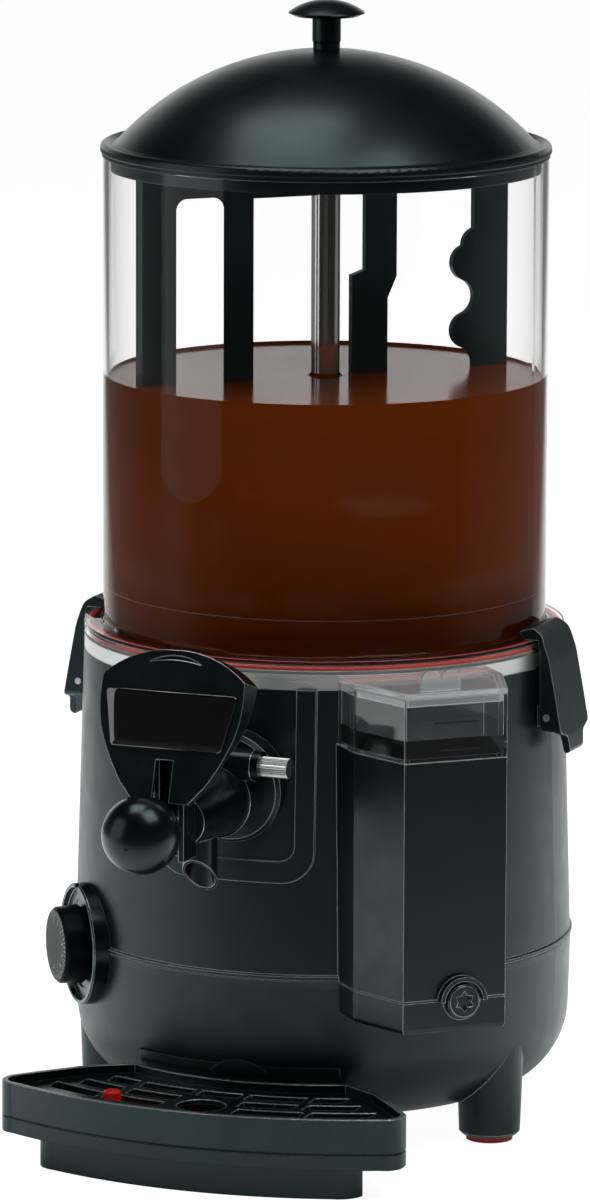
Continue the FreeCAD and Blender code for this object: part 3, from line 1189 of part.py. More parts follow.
arm_rod_slot = side_on(slab(
    "arm_rod_slot", d.arm_slot_half * 2,
    [(-d.arm_front - 3, d.arm_foot - 1), (-d.arm_back + 3, d.arm_foot - 1),
     (-d.arm_back + 3, d.arm_slot_top), (-d.arm_front - 3, d.arm_slot_top)]), x=-d.arm_slot_half)
arm_pin_hole = side_on(rod("arm_pin_hole", d.pin_radius + d.running_fit, d.pin_half_length * 2),
                       -d.pin_half_length, -d.pin_forward, d.pin_height)
node(cut("lever_body", join("lever_solid", arm_plate, arm_lower, handle_bar), arm_pin_hole,
         arm_rod_slot), "lever_arm")
ball = doc.addObject("Part::Sphere", "ball")
bind(ball, "Radius", d.ball_radius)
node(cut("ball_body", face(ball, forward=d.knob_forward, z=d.knob_height, dip=d.handle_dip),
         face(rod("ball_hole", d.handle_radius, root(arm_reach * arm_reach + arm_drop * arm_drop)
                  - d.ball_radius + 1), forward=d.handle_start, z=d.handle_height,
              dip=d.handle_dip)), "lever_knob")
d.add(spring_radius=3.2, spring_wire=0.6, spring_start=3.1)
coils = []
for side, sign in (("left", -1), ("right", 1)):
    coil = [(d.pin_radius, 0), (d.spring_radius, 0)]
    for turn in range(3):
        coil += [Arc(d.spring_wire / 2 + 0.02, left=False),
                 (d.spring_radius, d.spring_wire * (turn + 1))]
    coil.append((d.pin_radius, d.spring_wire * 3))
    start = d.spring_start if sign > 0 else -(d.spring_start + d.spring_wire * 3)
    coils.append(side_on(turned(f"coil_{side}", *coil), start, -d.pin_forward, d.pin_height))
node(group("spring_body", *coils), "lever_spring")

d.add(cover_dip=-17.2, cover_forward=206, cover_height=250, cover_depth=19.5, cover_wall=2.5,
      cover_top=27.8, cover_shoulder=13.9, cover_shoulder_half=37.7, cover_waist_half=35.8,
      cover_waist=-12.6, cover_chin_half=22.4, cover_chin=-39.5, cover_foot_half=14.8,
      cover_foot=-48.2, cover_slot=4.6, cover_slot_top=-27, cover_arch=53.5, cover_side_arc=75,
      cover_lower_arc=110)
d.add(cover_back_high=174.9, cover_back_high_z=271.8, cover_back_low=210.3, cover_back_low_z=224.1,
      cover_back_foot=218.9, cover_back_foot_z=196.4)
d.add(plate_top_half=35.3, plate_top=6.8, plate_foot_half=29.4, plate_foot=-21.8,
      nameplate_thickness=0.8, notch_half=14, notch_top=24.6, notch_foot=21, notch_depth=1.2)


def cover_outline(inset):
    """The cover's face, narrow at its foot, and smaller all round by inset."""
    inset = as_size(inset)
    side = [(d.cover_foot_half - inset * 0.6, d.cover_foot + inset),
            (d.cover_chin_half - inset * 0.85, d.cover_chin + inset * 0.5),
            Arc(d.cover_lower_arc - inset, left=False),
            (d.cover_waist_half - inset * 0.97, d.cover_waist + inset * 0.2),
            Arc(d.cover_side_arc - inset, left=False),
            (d.cover_shoulder_half - inset * 0.9, d.cover_shoulder - inset * 0.6)]
    top = (0, d.cover_top - inset)
    return side + [Arc(d.cover_arch - inset, left=False), top, Arc(d.cover_arch - inset, left=False)
                   ] + [item if isinstance(item, Arc) else (-as_size(item[0]), item[1])
                        for item in reversed(side)]


def on_cover(item, depth=0):
    """Laid on the cover's leaning face, depth below its surface."""
    depth = as_size(depth)
    return face(item, forward=d.cover_forward - depth * cosine(d.cover_dip),
                z=d.cover_height + depth * sine(d.cover_dip), dip=d.cover_dip)


cover_rib = on_cover(block("cover_rib", d.fork_slot, d.cover_waist, -3, d.cover_depth / 2),
                     d.cover_depth / 2 + 1)
cover_fork = side_on(slab(
    "cover_fork", d.fork_half_width * 2,
    [(-d.fork_front, d.fork_foot), (-d.fork_back + 9, d.fork_foot), (-d.fork_back + 9, d.fork_top + 9),
     (-d.fork_top_front, d.fork_top + 9), (-d.fork_top_front, d.fork_bend_top),
     (-d.fork_front, d.fork_bend)]), x=-d.fork_half_width)
cover_notch = on_cover(slab("cover_notch", d.notch_depth * 2,
                            [(d.notch_half, d.notch_foot), Arc(d.cover_arch / 2, left=False),
                             (-d.notch_half, d.notch_foot), Arc(d.cover_arch)]), d.notch_depth)
cover_shell = cut(
    "cover_shell", on_cover(slab("cover_block", d.cover_depth, cover_outline(0)), d.cover_depth),
    on_cover(slab("cover_space", d.cover_depth, cover_outline(d.cover_wall)),
             d.cover_depth + d.cover_wall),
    side_on(slab(
        "cover_back", d.bowl_radius,
        [(-d.cover_back_high, d.cover_back_high_z), (-d.cover_back_low, d.cover_back_low_z),
         (-d.cover_back_foot, d.cover_back_foot_z), (-d.tap_forward, d.cover_back_foot_z),
         (-d.tap_forward, d.cover_back_high_z)]), x=-d.bowl_radius / 2))
arm_relief = side_on(slab(
    "arm_relief", (d.arm_half_width + 0.8) * 2,
    [(-205.4, d.fork_top), (-198, d.fork_top), (-198, d.fork_top - 25), (-209.5, d.fork_top - 25),
     (-206.2, d.fork_bend_top)]), x=-(d.arm_half_width + 0.8))
node(cut("cover_body", join("cover_solid", cover_shell, cover_rib), cover_fork, arm_relief,
         on_cover(block("cover_slot", d.cover_slot, d.cover_foot - 2, d.cover_slot_top,
                        d.cover_depth * 2), d.cover_depth), cover_notch), "tap_cover")
node(on_cover(slab("nameplate_body", d.nameplate_thickness,
                   soften([(d.plate_foot_half, d.plate_foot), (d.plate_top_half, d.plate_top),
                           (-d.plate_top_half, d.plate_top), (-d.plate_foot_half, d.plate_foot)],
                          2))), "nameplate")

# ------------------------------------------------------------------ temperature dial

d.add(dial_radius=20.4, dial_back=131.7, dial_front=145.1, dial_edge=1.5, dial_bore_end=142,
      bezel_radius=31.5, bezel_inner=29.3, bezel_back=118, bezel_floor=131.2, bezel_front=134,
      bezel_notch=3, bezel_groove=23)
d.add(thermostat_back=94, thermostat_front=120, thermostat_half=13, thermostat_neck=6,
      thermostat_bore=110)
at_dial = dict(z=d.dial_height, turn=d.dial_turn)
bezel_trim = turned(
    "bezel_trim",
    (0, d.base_bend_top - 9),
    (d.base_flat_radius + d.base_bend, d.base_bend_top - 9),
    (d.base_flat_radius + d.base_bend, d.base_bend_top),
    (d.base_shoulder_radius, d.base_shoulder),
    (d.base_rim_radius, d.seam),
    (d.seam_radius, d.seam),
    (d.seam_radius, d.seam + d.seam_step),
    (d.casing_low_radius, d.casing_low),
    (casing_radius(d.border_outer_foot), d.border_outer_foot),
    (0, d.border_outer_foot))
bezel_turned = face(turned(
    "bezel_turned",
    (d.dial_hole_radius, d.bezel_back),
    (d.bezel_radius, d.bezel_back),
    (d.bezel_radius, d.bezel_front - 0.8),
    (d.bezel_radius - 0.8, d.bezel_front),
    (d.bezel_inner, d.bezel_front),
    (d.bezel_inner - 0.8, d.bezel_floor),
    (d.bezel_groove, d.bezel_floor),
    (d.bezel_groove, d.bezel_floor - 0.8),
    (d.dial_hole_radius, d.bezel_floor - 0.8)), **at_dial)
bezel_notch = face(block("bezel_notch", d.bezel_notch, d.bezel_groove, d.bezel_radius + 1,
                         d.bezel_notch * 2), forward=d.bezel_floor, **at_dial)
node(cut("bezel_body", bezel_turned, bezel_trim, bezel_notch), "dial_bezel")
node(face(turned(
    "dial_body",
    (0, d.dial_bore_end),
    (d.dial_shaft_radius, d.dial_bore_end),
    (d.dial_shaft_radius, d.dial_back),
    (d.dial_radius - 1, d.dial_back),
    (d.dial_radius, d.dial_back + 1),
    (d.dial_radius - 0.6, d.dial_front - d.dial_edge),
    (d.dial_radius - 0.6 - d.dial_edge, d.dial_front),
    (0, d.dial_front)), **at_dial), "thermostat_dial")
node(face(rod("dial_shaft_body", d.dial_shaft_radius, d.dial_bore_end - d.thermostat_bore
              - d.clearance), forward=d.thermostat_bore + d.clearance, **at_dial),
     "thermostat_shaft")
node(cut("thermostat_solid_body",
         join("thermostat_solid",
              face(block("thermostat_box", d.thermostat_half, -d.thermostat_half,
                         d.thermostat_neck - 1, d.thermostat_front - d.thermostat_back),
                   forward=d.thermostat_back, **at_dial),
              face(rod("thermostat_neck_bar", d.thermostat_neck - 1.2, 3),
                   forward=d.thermostat_front - 0.5, **at_dial)),
         face(rod("thermostat_hole", d.dial_shaft_radius + d.running_fit, d.thermostat_front),
              forward=d.thermostat_bore, **at_dial)), "thermostat_body")

# ------------------------------------------------------------------ electrical pieces at the back

d.add(frame_back=119, frame_flange_back=127.4, frame_front=129.6, frame_flange=2.6,
      frame_opening=10.2, frame_opening_height=13)
d.add(rocker_half_width=9.6, rocker_pivot=124, rocker_edge_height=11.6, rocker_edge=129.8,
      rocker_dip_front=128.2, rocker_root=121.5, rocker_root_height=8, rocker_pin=1.5, rocker_tilt=8)
at_switch = dict(z=d.switch_height, turn=180)
node(cut("switch_frame_body",
         join("switch_frame_solid",
              face(block("frame_block", d.switch_half_width, -d.switch_half_height,
                         d.switch_half_height, d.frame_front - d.frame_back),
                   forward=d.frame_back, **at_switch),
              face(block("frame_flange", d.switch_half_width + d.frame_flange,
                         -d.switch_half_height - d.frame_flange,
                         d.switch_half_height + d.frame_flange,
                         d.frame_front - d.frame_flange_back), forward=d.frame_flange_back,
                   **at_switch)),
         face(block("frame_opening", d.frame_opening, -d.frame_opening_height,
                    d.frame_opening_height, d.frame_front - d.frame_back),
              forward=d.frame_back + 0.8, **at_switch),
         side_on(rod("frame_pin_hole", d.rocker_pin + d.running_fit, d.switch_half_width * 2 - 2),
                 -d.switch_half_width + 1, d.rocker_pivot, d.switch_height)), "switch_frame")


def tilted(distance, height):
    """A point of the rocker, tilted about its pin so that the lower half is pressed in."""
    distance, height = as_size(distance) - d.rocker_pivot, as_size(height)
    return (distance * cosine(d.rocker_tilt) + height * sine(d.rocker_tilt),
            height * cosine(d.rocker_tilt) - distance * sine(d.rocker_tilt))


rocker_points = [tilted(d.rocker_root, -d.rocker_root_height),
                 tilted(d.rocker_edge, -d.rocker_edge_height), tilted(d.rocker_dip_front, 0),
                 tilted(d.rocker_edge, d.rocker_edge_height),
                 tilted(d.rocker_root, d.rocker_root_height)]
node(join("rocker_body",
          side_on(slab("rocker_profile", d.rocker_half_width * 2, rocker_points),
                  -d.rocker_half_width, d.rocker_pivot, d.switch_height),
          side_on(rod("rocker_pin_bar", d.rocker_pin, d.switch_half_width * 2 - 3),
                  -d.switch_half_width + 1.5, d.rocker_pivot, d.switch_height)), "rocker_switch")
d.add(gland_inner=4, gland_back=116, gland_flange=12.5, gland_seat=129, gland_flange_end=133,
      gland_neck=9, gland_end=147.1, nut_radius=12, nut_front=124.6, nut_thickness=4.5)
at_gland = dict(z=d.gland_height, turn=180)
node(face(turned(
    "gland_body",
    (d.gland_inner, d.gland_back),
    (d.gland_radius, d.gland_back),
    (d.gland_radius, d.gland_seat),
    (d.gland_flange, d.gland_seat),
    (d.gland_flange, d.gland_flange_end),
    (d.gland_neck, d.gland_flange_end + 2),
    (d.gland_neck - 1, d.gland_end - 1),
    (d.gland_neck - 2, d.gland_end),
    (d.gland_inner, d.gland_end)), **at_gland), "cord_gland")
node(face(turned(
    "gland_nut_body",
    (d.gland_radius, d.nut_front - d.nut_thickness),
    (d.nut_radius, d.nut_front - d.nut_thickness),
    (d.nut_radius, d.nut_front),
    (d.gland_radius, d.nut_front)), **at_gland), "gland_nut")
d.add(terminal_half=22, terminal_front=58, terminal_back=78, terminal_height=18, terminal_pitch=8,
      terminal_hole=2.2, terminal_hole_depth=8)
terminal_holes = [stand(rod(f"terminal_hole_{index}", d.terminal_hole, d.terminal_height),
                        x=d.terminal_pitch * (index % 5 - 2),
                        y=(d.terminal_front + 5) if index < 5 else (d.terminal_back - 5),
                        z=d.base_floor + d.casing_wall + d.terminal_height - d.terminal_hole_depth)
                  for index in range(10)]
node(cut("terminal_body",
         stand(slab("terminal_slab", d.terminal_height,
                    rectangle(d.terminal_half, d.terminal_front, d.terminal_back)),
               z=d.base_floor + d.casing_wall), *terminal_holes), "terminal_block")

# ------------------------------------------------------------------ drip tray

d.add(tray_rim=42.3, tray_groove=24.8, tray_groove_height=0.8, tray_band_foot=16.3,
      tray_front_radius=235, tray_middle=37, tray_corner_side=100, tray_half_width=108.5,
      tray_corner=9.5, tray_corner_back=-165.5, tray_wall=2.5, tray_ledge=2.5, grid_seat=35.5,
      grid_thickness=2.5, tray_well_floor=18.8)
d.add(tray_side_x=108, tray_side_y=-160, tray_bend_x=97, tray_bend_y=-146, tray_rear_x=79,
      tray_rear_y=-125, tray_tip_x=58, tray_back_radius=126)
d.add(step_half_width=87.5, step_front=-191.5, step_back=-137, step_corner=12, step_wall=2.5,
      step_back_half=67)


def tray_arc(x, inset):
    """Where the tray's front arc, drawn in by inset, passes x."""
    radius = d.tray_front_radius - inset
    return (x, d.tray_middle - root(radius * radius - as_size(x) * x))


def tray_outline(inset):
    """The tray seen from above, smaller all round by inset."""
    inset = as_size(inset)
    side = d.tray_half_width - inset
    half = [(side, d.tray_corner_back), (d.tray_side_x - inset, d.tray_side_y - inset * 0.3),
            (d.tray_bend_x - inset * 0.78, d.tray_bend_y - inset * 0.63),
            (d.tray_rear_x - inset * 0.65, d.tray_rear_y - inset * 0.77)]
    back = d.tray_back_radius + inset
    tip = d.tray_tip_x - inset * 0.05
    tip_y = -root(back * back - tip * tip)
    corner = d.tray_corner_side - inset
    return ([tray_arc(-corner, inset), Arc(d.tray_front_radius - inset, left=False),
             tray_arc(corner, inset), Arc(d.tray_corner, left=False)] + half
            + [(tip, tip_y), Arc(back), (-tip, tip_y)]
            + [(-as_size(x), y) for x, y in reversed(half)] + [Arc(d.tray_corner, left=False)])


def step_outline(inset):
    inset = as_size(inset)
    radius = d.tray_middle - d.step_front - inset
    half = d.step_half_width - d.step_corner
    height = d.tray_middle - root(radius * radius - half * half)
    return [(-half, height), Arc(radius, left=False), (half, height),
            Arc(d.step_corner * 1.15, left=False),
            (d.step_half_width - inset, height + d.step_corner),
            (d.step_back_half - inset * 1.1, d.step_back - inset),
            (-(d.step_back_half - inset * 1.1), d.step_back - inset),
            (-(d.step_half_width - inset), height + d.step_corner),
            Arc(d.step_corner * 1.15, left=False)]


tray_solid = join(
    "tray_solid",
    stand(slab("tray_upper", d.tray_rim - d.tray_groove, tray_outline(0)), z=d.tray_groove),
    stand(slab("tray_groove_ring", d.tray_groove_height * 2, tray_outline(0.8)),
          z=d.tray_groove - d.tray_groove_height),
    stand(slab("tray_band", d.tray_groove - d.tray_groove_height - d.tray_band_foot,
               tray_outline(0)), z=d.tray_band_foot),
    slab("tray_step", d.tray_band_foot + 1, step_outline(0)))
node(cut("tray_body", tray_solid,
         stand(slab("tray_mouth", d.tray_rim - d.grid_seat + 1, tray_outline(d.tray_wall)),
               z=d.grid_seat - d.clearance),
         stand(slab("tray_well", d.grid_seat - d.tray_well_floor + 1,
                    tray_outline(d.tray_wall + d.tray_ledge)), z=d.tray_well_floor),
         stand(slab("tray_sump", d.tray_well_floor - d.step_wall + 1, step_outline(d.step_wall)),
               z=d.step_wall)), "drip_tray")

d.add(slot_half_width=5.2, row_a=209, row_b=194, row_c=179, ring_hole=12.5, ring_hole_y=-166,
      float_x=-49.6, float_y=-163.7, float_hole=5, float_head=4.5, float_head_foot=33,
      float_top=40.6, float_stem=2.2, float_disc=13, float_disc_top=13)


def slot_outline(row, start, end):
    """A slot of the grid that follows the front edge between two distances across."""
    def spot(x, radius):
        return (as_size(x), d.tray_middle - root(radius * radius - as_size(x) * x))
    outer, inner = row + d.slot_half_width, row - d.slot_half_width
    return [spot(start, outer), Arc(outer, left=False), spot(end, outer), spot(end, inner),
            Arc(inner), spot(start, inner)]


slot_spans = [(d.row_a, 20, 53), (d.row_a, 57, 87), (d.row_b, 17, 45), (d.row_b, 50, 75),
              (d.row_c, 15, 44), (d.row_c, 48, 64)]
slots = [slot_outline(d.row_c, -11, 11)]
for row, start, end in slot_spans:
    slots += [slot_outline(row, start, end), slot_outline(row, -end, -start)]
float_hole = stand(rod("float_hole", d.float_hole, d.grid_thickness + 2), d.float_x, d.float_y,
                   d.grid_seat - 1)
node(cut("grid_body",
         stand(slab("grid_plate", d.grid_thickness, tray_outline(d.tray_wall + d.clearance),
                    Round(0, d.ring_hole_y, d.ring_hole), *slots), z=d.grid_seat), float_hole),
     "drip_grid")
node(stand(turned(
    "float_body",
    (0, d.step_wall + d.clearance),
    (d.float_disc, d.step_wall + d.clearance),
    (d.float_disc, d.float_disc_top),
    (d.float_stem, d.float_disc_top),
    (d.float_stem, d.float_head_foot),
    (d.float_head, d.float_head_foot),
    (d.float_head, d.float_top - 0.8),
    (d.float_head - 0.8, d.float_top),
    (0, d.float_top)), d.float_x, d.float_y), "tray_float")
d.add(bracket_half=55, bracket_foot=46.5, bracket_top=51, bracket_radius=128.1, bracket_back=100,
      tab_radius=20.9, tab_middle=33, tab_x=5, tab_front=129.3)
base_envelope = turned(
    "base_envelope",
    (0, d.base_floor),
    (d.base_flat_radius, d.base_floor),
    Arc(d.base_bend, left=False), (d.base_flat_radius + d.base_bend, d.base_bend_top),
    (0, d.base_bend_top))
tab_rise = d.bracket_foot - d.tab_middle
tab_half = root(d.tab_radius * d.tab_radius - tab_rise * tab_rise)
bracket_strap = common(
    "bracket_strap",
    face(block("bracket_front", d.bracket_half, d.bracket_foot, d.bracket_top, d.bracket_back / 2),
         forward=d.bracket_back),
    rod("bracket_bar", d.bracket_radius, d.base_bend_top))
bracket_tab = common(
    "bracket_tab",
    face(slab("tab_front", d.bracket_back / 2,
              [(tab_half, d.bracket_foot), Arc(d.tab_radius, left=False),
               (0, d.tab_middle + d.tab_radius), Arc(d.tab_radius, left=False),
               (-tab_half, d.bracket_foot)]), x=d.tab_x, forward=d.bracket_back),
    rod("tab_bar", d.tab_front, d.base_bend_top))
node(cut("bracket_body", join("bracket_solid", bracket_strap, bracket_tab), base_envelope),
     "tray_bracket")

# ------------------------------------------------------------------ report and files

doc.recompute()


def check(items):
    """Stops if any object of the document failed, or a piece is empty or broken."""
    failed = [item.Name for item in doc.Objects
              if "Invalid" in item.State or "Error" in item.State]
    if failed:
        raise RuntimeError("failed objects: " + ", ".join(failed))
    for item in items:
        if item.Shape.isNull() or not item.Shape.isValid():
            raise RuntimeError("broken shape: " + item.Label)


check(nodes)
os.makedirs("parts", exist_ok=True)
for item in nodes:
    item.Shape.exportStep(f"parts/{item.Label}.step")
    box = item.Shape.BoundBox
    print(f"{item.Label:18s} {len(item.Shape.Solids)} solid(s) {item.Shape.Volume / 1000:8.2f} cm3 "
          f"z {box.ZMin:.1f} to {box.ZMax:.1f}")
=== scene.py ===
import math

import bpy
import numpy as np
from mathutils import Matrix, Vector


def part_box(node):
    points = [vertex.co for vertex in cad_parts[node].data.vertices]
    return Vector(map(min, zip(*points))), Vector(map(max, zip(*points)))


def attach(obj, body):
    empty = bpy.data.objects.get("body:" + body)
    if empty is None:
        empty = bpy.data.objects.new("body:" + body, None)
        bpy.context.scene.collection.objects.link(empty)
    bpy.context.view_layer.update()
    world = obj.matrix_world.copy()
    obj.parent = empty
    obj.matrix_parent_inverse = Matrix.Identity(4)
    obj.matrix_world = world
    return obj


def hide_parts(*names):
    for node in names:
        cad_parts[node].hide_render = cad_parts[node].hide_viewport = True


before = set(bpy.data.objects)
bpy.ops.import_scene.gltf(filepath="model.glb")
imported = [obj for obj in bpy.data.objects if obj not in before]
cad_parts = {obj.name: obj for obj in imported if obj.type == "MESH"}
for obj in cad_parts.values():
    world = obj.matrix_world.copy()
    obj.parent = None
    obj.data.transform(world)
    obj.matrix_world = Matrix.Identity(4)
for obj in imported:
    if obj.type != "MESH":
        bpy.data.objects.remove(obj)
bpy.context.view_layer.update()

MM = 0.001

# ---------------------------------------------------------------------------
# The camera. It stands in front and to the right of the machine, a little
# under two machine heights up, far enough off that the uprights stay upright.
bowl_axis_y = sum(c.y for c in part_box("centre_tube")) / 2

camera_distance = 3843.9 * MM
camera_height = 965.5 * MM
camera_round = math.radians(21.5)
camera_heading = math.radians(21.726)
camera_dip = math.radians(10.278)
camera_roll = math.radians(0.193)
film_height = 36.0
image_height_in_focal_lengths = 1200 / 7549.4

forward = Vector((
    -math.sin(camera_heading) * math.cos(camera_dip),
    math.cos(camera_heading) * math.cos(camera_dip),
    -math.sin(camera_dip),
))
level_right = Vector((math.cos(camera_heading), math.sin(camera_heading), 0))
level_up = level_right.cross(forward)
camera_right = math.cos(camera_roll) * level_right + math.sin(camera_roll) * level_up
camera_up = -math.sin(camera_roll) * level_right + math.cos(camera_roll) * level_up

lens = bpy.data.cameras.new("front_camera")
lens.sensor_fit = "VERTICAL"
lens.sensor_height = film_height
lens.lens = film_height / image_height_in_focal_lengths
lens.clip_end = 60
camera = bpy.data.objects.new("front_camera", lens)
bpy.context.scene.collection.objects.link(camera)
camera.matrix_world = Matrix((
    (camera_right.x, camera_up.x, -forward.x, camera_distance * math.sin(camera_round)),
    (camera_right.y, camera_up.y, -forward.y, bowl_axis_y - camera_distance * math.cos(camera_round)),
    (camera_right.z, camera_up.z, -forward.z, camera_height),
    (0, 0, 0, 1),
))
bpy.context.scene.camera = camera
bpy.context.scene.view_settings.view_transform = "Standard"

# ---------------------------------------------------------------------------
# The studio: a sheet of white paper under and behind the machine, three
# cloth-covered lamps, and a dim room on the side of the camera.


def empty_finish(name):
    """A new material without nodes, and its node tree."""
    material = bpy.data.materials.new(name)
    material.use_nodes = True
    tree = material.node_tree
    tree.nodes.clear()
    return material, tree


def add_node(tree, kind, **settings):
    """One node of that kind. A setting named after a property goes on the node. Any other
    goes on the input of that name, or of that number as _0, as a value or as a link."""
    node = tree.nodes.new(kind)
    for key, value in settings.items():
        if hasattr(node, key):
            setattr(node, key, value)
            continue
        socket = node.inputs[int(key[1:])] if key[0] == "_" else node.inputs[key.replace("_", " ")]
        if isinstance(value, bpy.types.NodeSocket):
            tree.links.new(value, socket)
        else:
            socket.default_value = value
    return node


def calc(tree, operation, *values):
    """One step of arithmetic, such as MULTIPLY, on numbers or sockets."""
    inputs = {f"_{index}": value for index, value in enumerate(values)}
    return add_node(tree, "ShaderNodeMath", operation=operation, **inputs).outputs[0]


def ramp(tree, value, start, end, low, high, **more):
    """The value from start to end turned into low to high, and held there beyond."""
    return add_node(tree, "ShaderNodeMapRange", Value=value, From_Min=start, From_Max=end,
                    To_Min=low, To_Max=high, **more).outputs[0]


def along(tree, place, direction):
    """How far the place lies in that direction."""
    return add_node(tree, "ShaderNodeVectorMath", operation="DOT_PRODUCT",
                    _0=place, _1=tuple(direction)).outputs["Value"]


def either(tree, share, first, second):
    """The first number turning into the second by share."""
    return add_node(tree, "ShaderNodeMix", _0=share, _2=first, _3=second).outputs[0]


def sheet_mesh(name, points, faces, smooth=True):
    """A mesh object of those points and faces, with nothing on it yet."""
    mesh = bpy.data.meshes.new(name)
    faces = [[int(corner) for corner in face] for face in faces]
    mesh.from_pydata(np.asarray(points, float).tolist(), [], faces)
    mesh.polygons.foreach_set("use_smooth", np.full(len(mesh.polygons), smooth))
    mesh.update()
    piece = bpy.data.objects.new(name, mesh)
    bpy.context.scene.collection.objects.link(piece)
    return piece


towards_camera = (math.sin(camera_round), -math.cos(camera_round), 0)
sweep_half = 7.0
floor = sheet_mesh("studio_floor", [
    (-sweep_half, -sweep_half, 0), (sweep_half, -sweep_half, 0),
    (sweep_half, sweep_half, 0), (-sweep_half, sweep_half, 0),
], [(0, 1, 2, 3)])
floor_finish, tree = empty_finish("white_sweep")
seen = add_node(tree, "ShaderNodeLightPath").outputs["Is Camera Ray"]
place = add_node(tree, "ShaderNodeTexCoord").outputs["Object"]
how_near = along(tree, place, towards_camera)
aside = calc(tree, "ABSOLUTE", along(tree, place, level_right))
off_axis = add_node(tree, "ShaderNodeVectorMath", operation="LENGTH", _0=place).outputs["Value"]
bare = ramp(tree, how_near, 0.30, 0.75, 0.80, 0.14)
far_glow = ramp(tree, how_near, 0.0, 0.72, 0.98, 0.03)
own_shade = ramp(tree, off_axis, 0.16, 0.25, 0.30, 1.0)
sheet_end = ramp(tree, off_axis, 1.10, 1.45, 1.0, 0.12)
strip_behind = ramp(tree, aside, 0.75, 1.10, 1.0, 0.12)
near_glow = calc(tree, "MULTIPLY", own_shade, calc(tree, "MAXIMUM", sheet_end, strip_behind))
glow = either(tree, seen, calc(tree, "MULTIPLY", far_glow, near_glow), 0.95)
paper = add_node(tree, "ShaderNodeBsdfDiffuse", Color=either(tree, seen, bare, 0.80)).outputs[0]
lift = add_node(tree, "ShaderNodeEmission", Color=(1, 1, 1, 1), Strength=glow).outputs[0]
lit_sheet = add_node(tree, "ShaderNodeAddShader", _0=paper, _1=lift).outputs[0]
add_node(tree, "ShaderNodeOutputMaterial", Surface=lit_sheet)
floor.data.materials.append(floor_finish)

world = bpy.data.worlds.new("studio_room")
bpy.context.scene.world = world
world.use_nodes = True
tree = world.node_tree
tree.nodes.clear()
seen = add_node(tree, "ShaderNodeLightPath").outputs["Is Camera Ray"]
direction = add_node(tree, "ShaderNodeTexCoord").outputs["Generated"]
room_side = ramp(tree, along(tree, direction, towards_camera), -0.98, -0.70, 1.15, 0.07,
                 interpolation_type="SMOOTHSTEP")
ceiling = ramp(tree, add_node(tree, "ShaderNodeSeparateXYZ", Vector=direction).outputs["Z"],
               0.10, 0.50, 1.0, 0.06, interpolation_type="SMOOTHSTEP")
level = either(tree, seen, calc(tree, "MULTIPLY", room_side, ceiling), 1.0)
background = add_node(tree, "ShaderNodeBackground", Color=(1, 1, 1, 1), Strength=level).outputs[0]
add_node(tree, "ShaderNodeOutputWorld", Surface=background)


def softbox(name, towards, distance, width, height, watts):
    """An area lamp that faces the middle of the machine from that distance. towards is
    its direction, in degrees round from the front to the right and in degrees up."""
    turn, rise = map(math.radians, towards)
    lamp = bpy.data.lights.new(name, "AREA")
    lamp.shape, lamp.size, lamp.size_y, lamp.energy = "RECTANGLE", width, height, watts
    place = Vector((math.sin(turn) * math.cos(rise), -math.cos(turn) * math.cos(rise), math.sin(rise)))
    holder = bpy.data.objects.new(name, lamp)
    holder.location = Vector((0, 0, 300 * MM)) + distance * place
    holder.rotation_euler = place.to_track_quat("Z", "Y").to_euler()
    bpy.context.scene.collection.objects.link(holder)


softbox("left_softbox", (-52, 6), 2.0, 1.42, 2.4, 8)
softbox("right_top_softbox", (68, 60), 1.9, 1.1, 1.1, 13)
softbox("overhead_softbox", (-80, 80), 1.9, 1.0, 1.0, 9)

# ---------------------------------------------------------------------------
# Casing and stand: black ABS mouldings with a fine spark-eroded grain and a painted highlight along their
# edges. The legs stand on red rubber pads.


def object_place(tree):
    """Object coordinates, in metres."""
    return add_node(tree, "ShaderNodeTexCoord").outputs["Object"]


def axis_of(tree, vector, axis):
    """The X, Y or Z of a vector."""
    return add_node(tree, "ShaderNodeSeparateXYZ", Vector=vector).outputs[axis]


def mottle(tree, place, scale, detail=3.0, rough=0.55):
    """Cloudy noise from 0 to 1 of about that many blotches a metre."""
    return add_node(tree, "ShaderNodeTexNoise", Vector=place, Scale=scale,
                    Detail=detail, Roughness=rough).outputs["Fac"]


def between(tree, value, low, high):
    """The middle of a noise, 0.3 to 0.7, spread from low to high."""
    return ramp(tree, value, 0.3, 0.7, low, high)


def blend(tree, share, first, second):
    """The first colour turning into the second by share. A colour is three numbers or a socket."""
    first, second = (colour if isinstance(colour, bpy.types.NodeSocket) else (*colour, 1)
                     for colour in (first, second))
    return add_node(tree, "ShaderNodeMix", data_type="RGBA", _0=share, _6=first, _7=second).outputs[2]


def edge_round(tree, radius):
    """The normal with every sharp edge shaded as if rounded to that radius."""
    return add_node(tree, "ShaderNodeBevel", samples=4, Radius=radius).outputs[0]


def edge_line(tree, radius):
    """0 over the faces, rising to 1 within that radius of a sharp edge."""
    normal = add_node(tree, "ShaderNodeNewGeometry").outputs["Normal"]
    likeness = add_node(tree, "ShaderNodeVectorMath", operation="DOT_PRODUCT",
                        _0=edge_round(tree, radius), _1=normal).outputs["Value"]
    return ramp(tree, likeness, 0.985, 0.90, 0.0, 1.0)


# Colour of the painted highlight along the edges of mouldings.
edge_shine = (0.78, 0.88, 0.90)
upward_grey = (0.50, 0.58, 0.58)


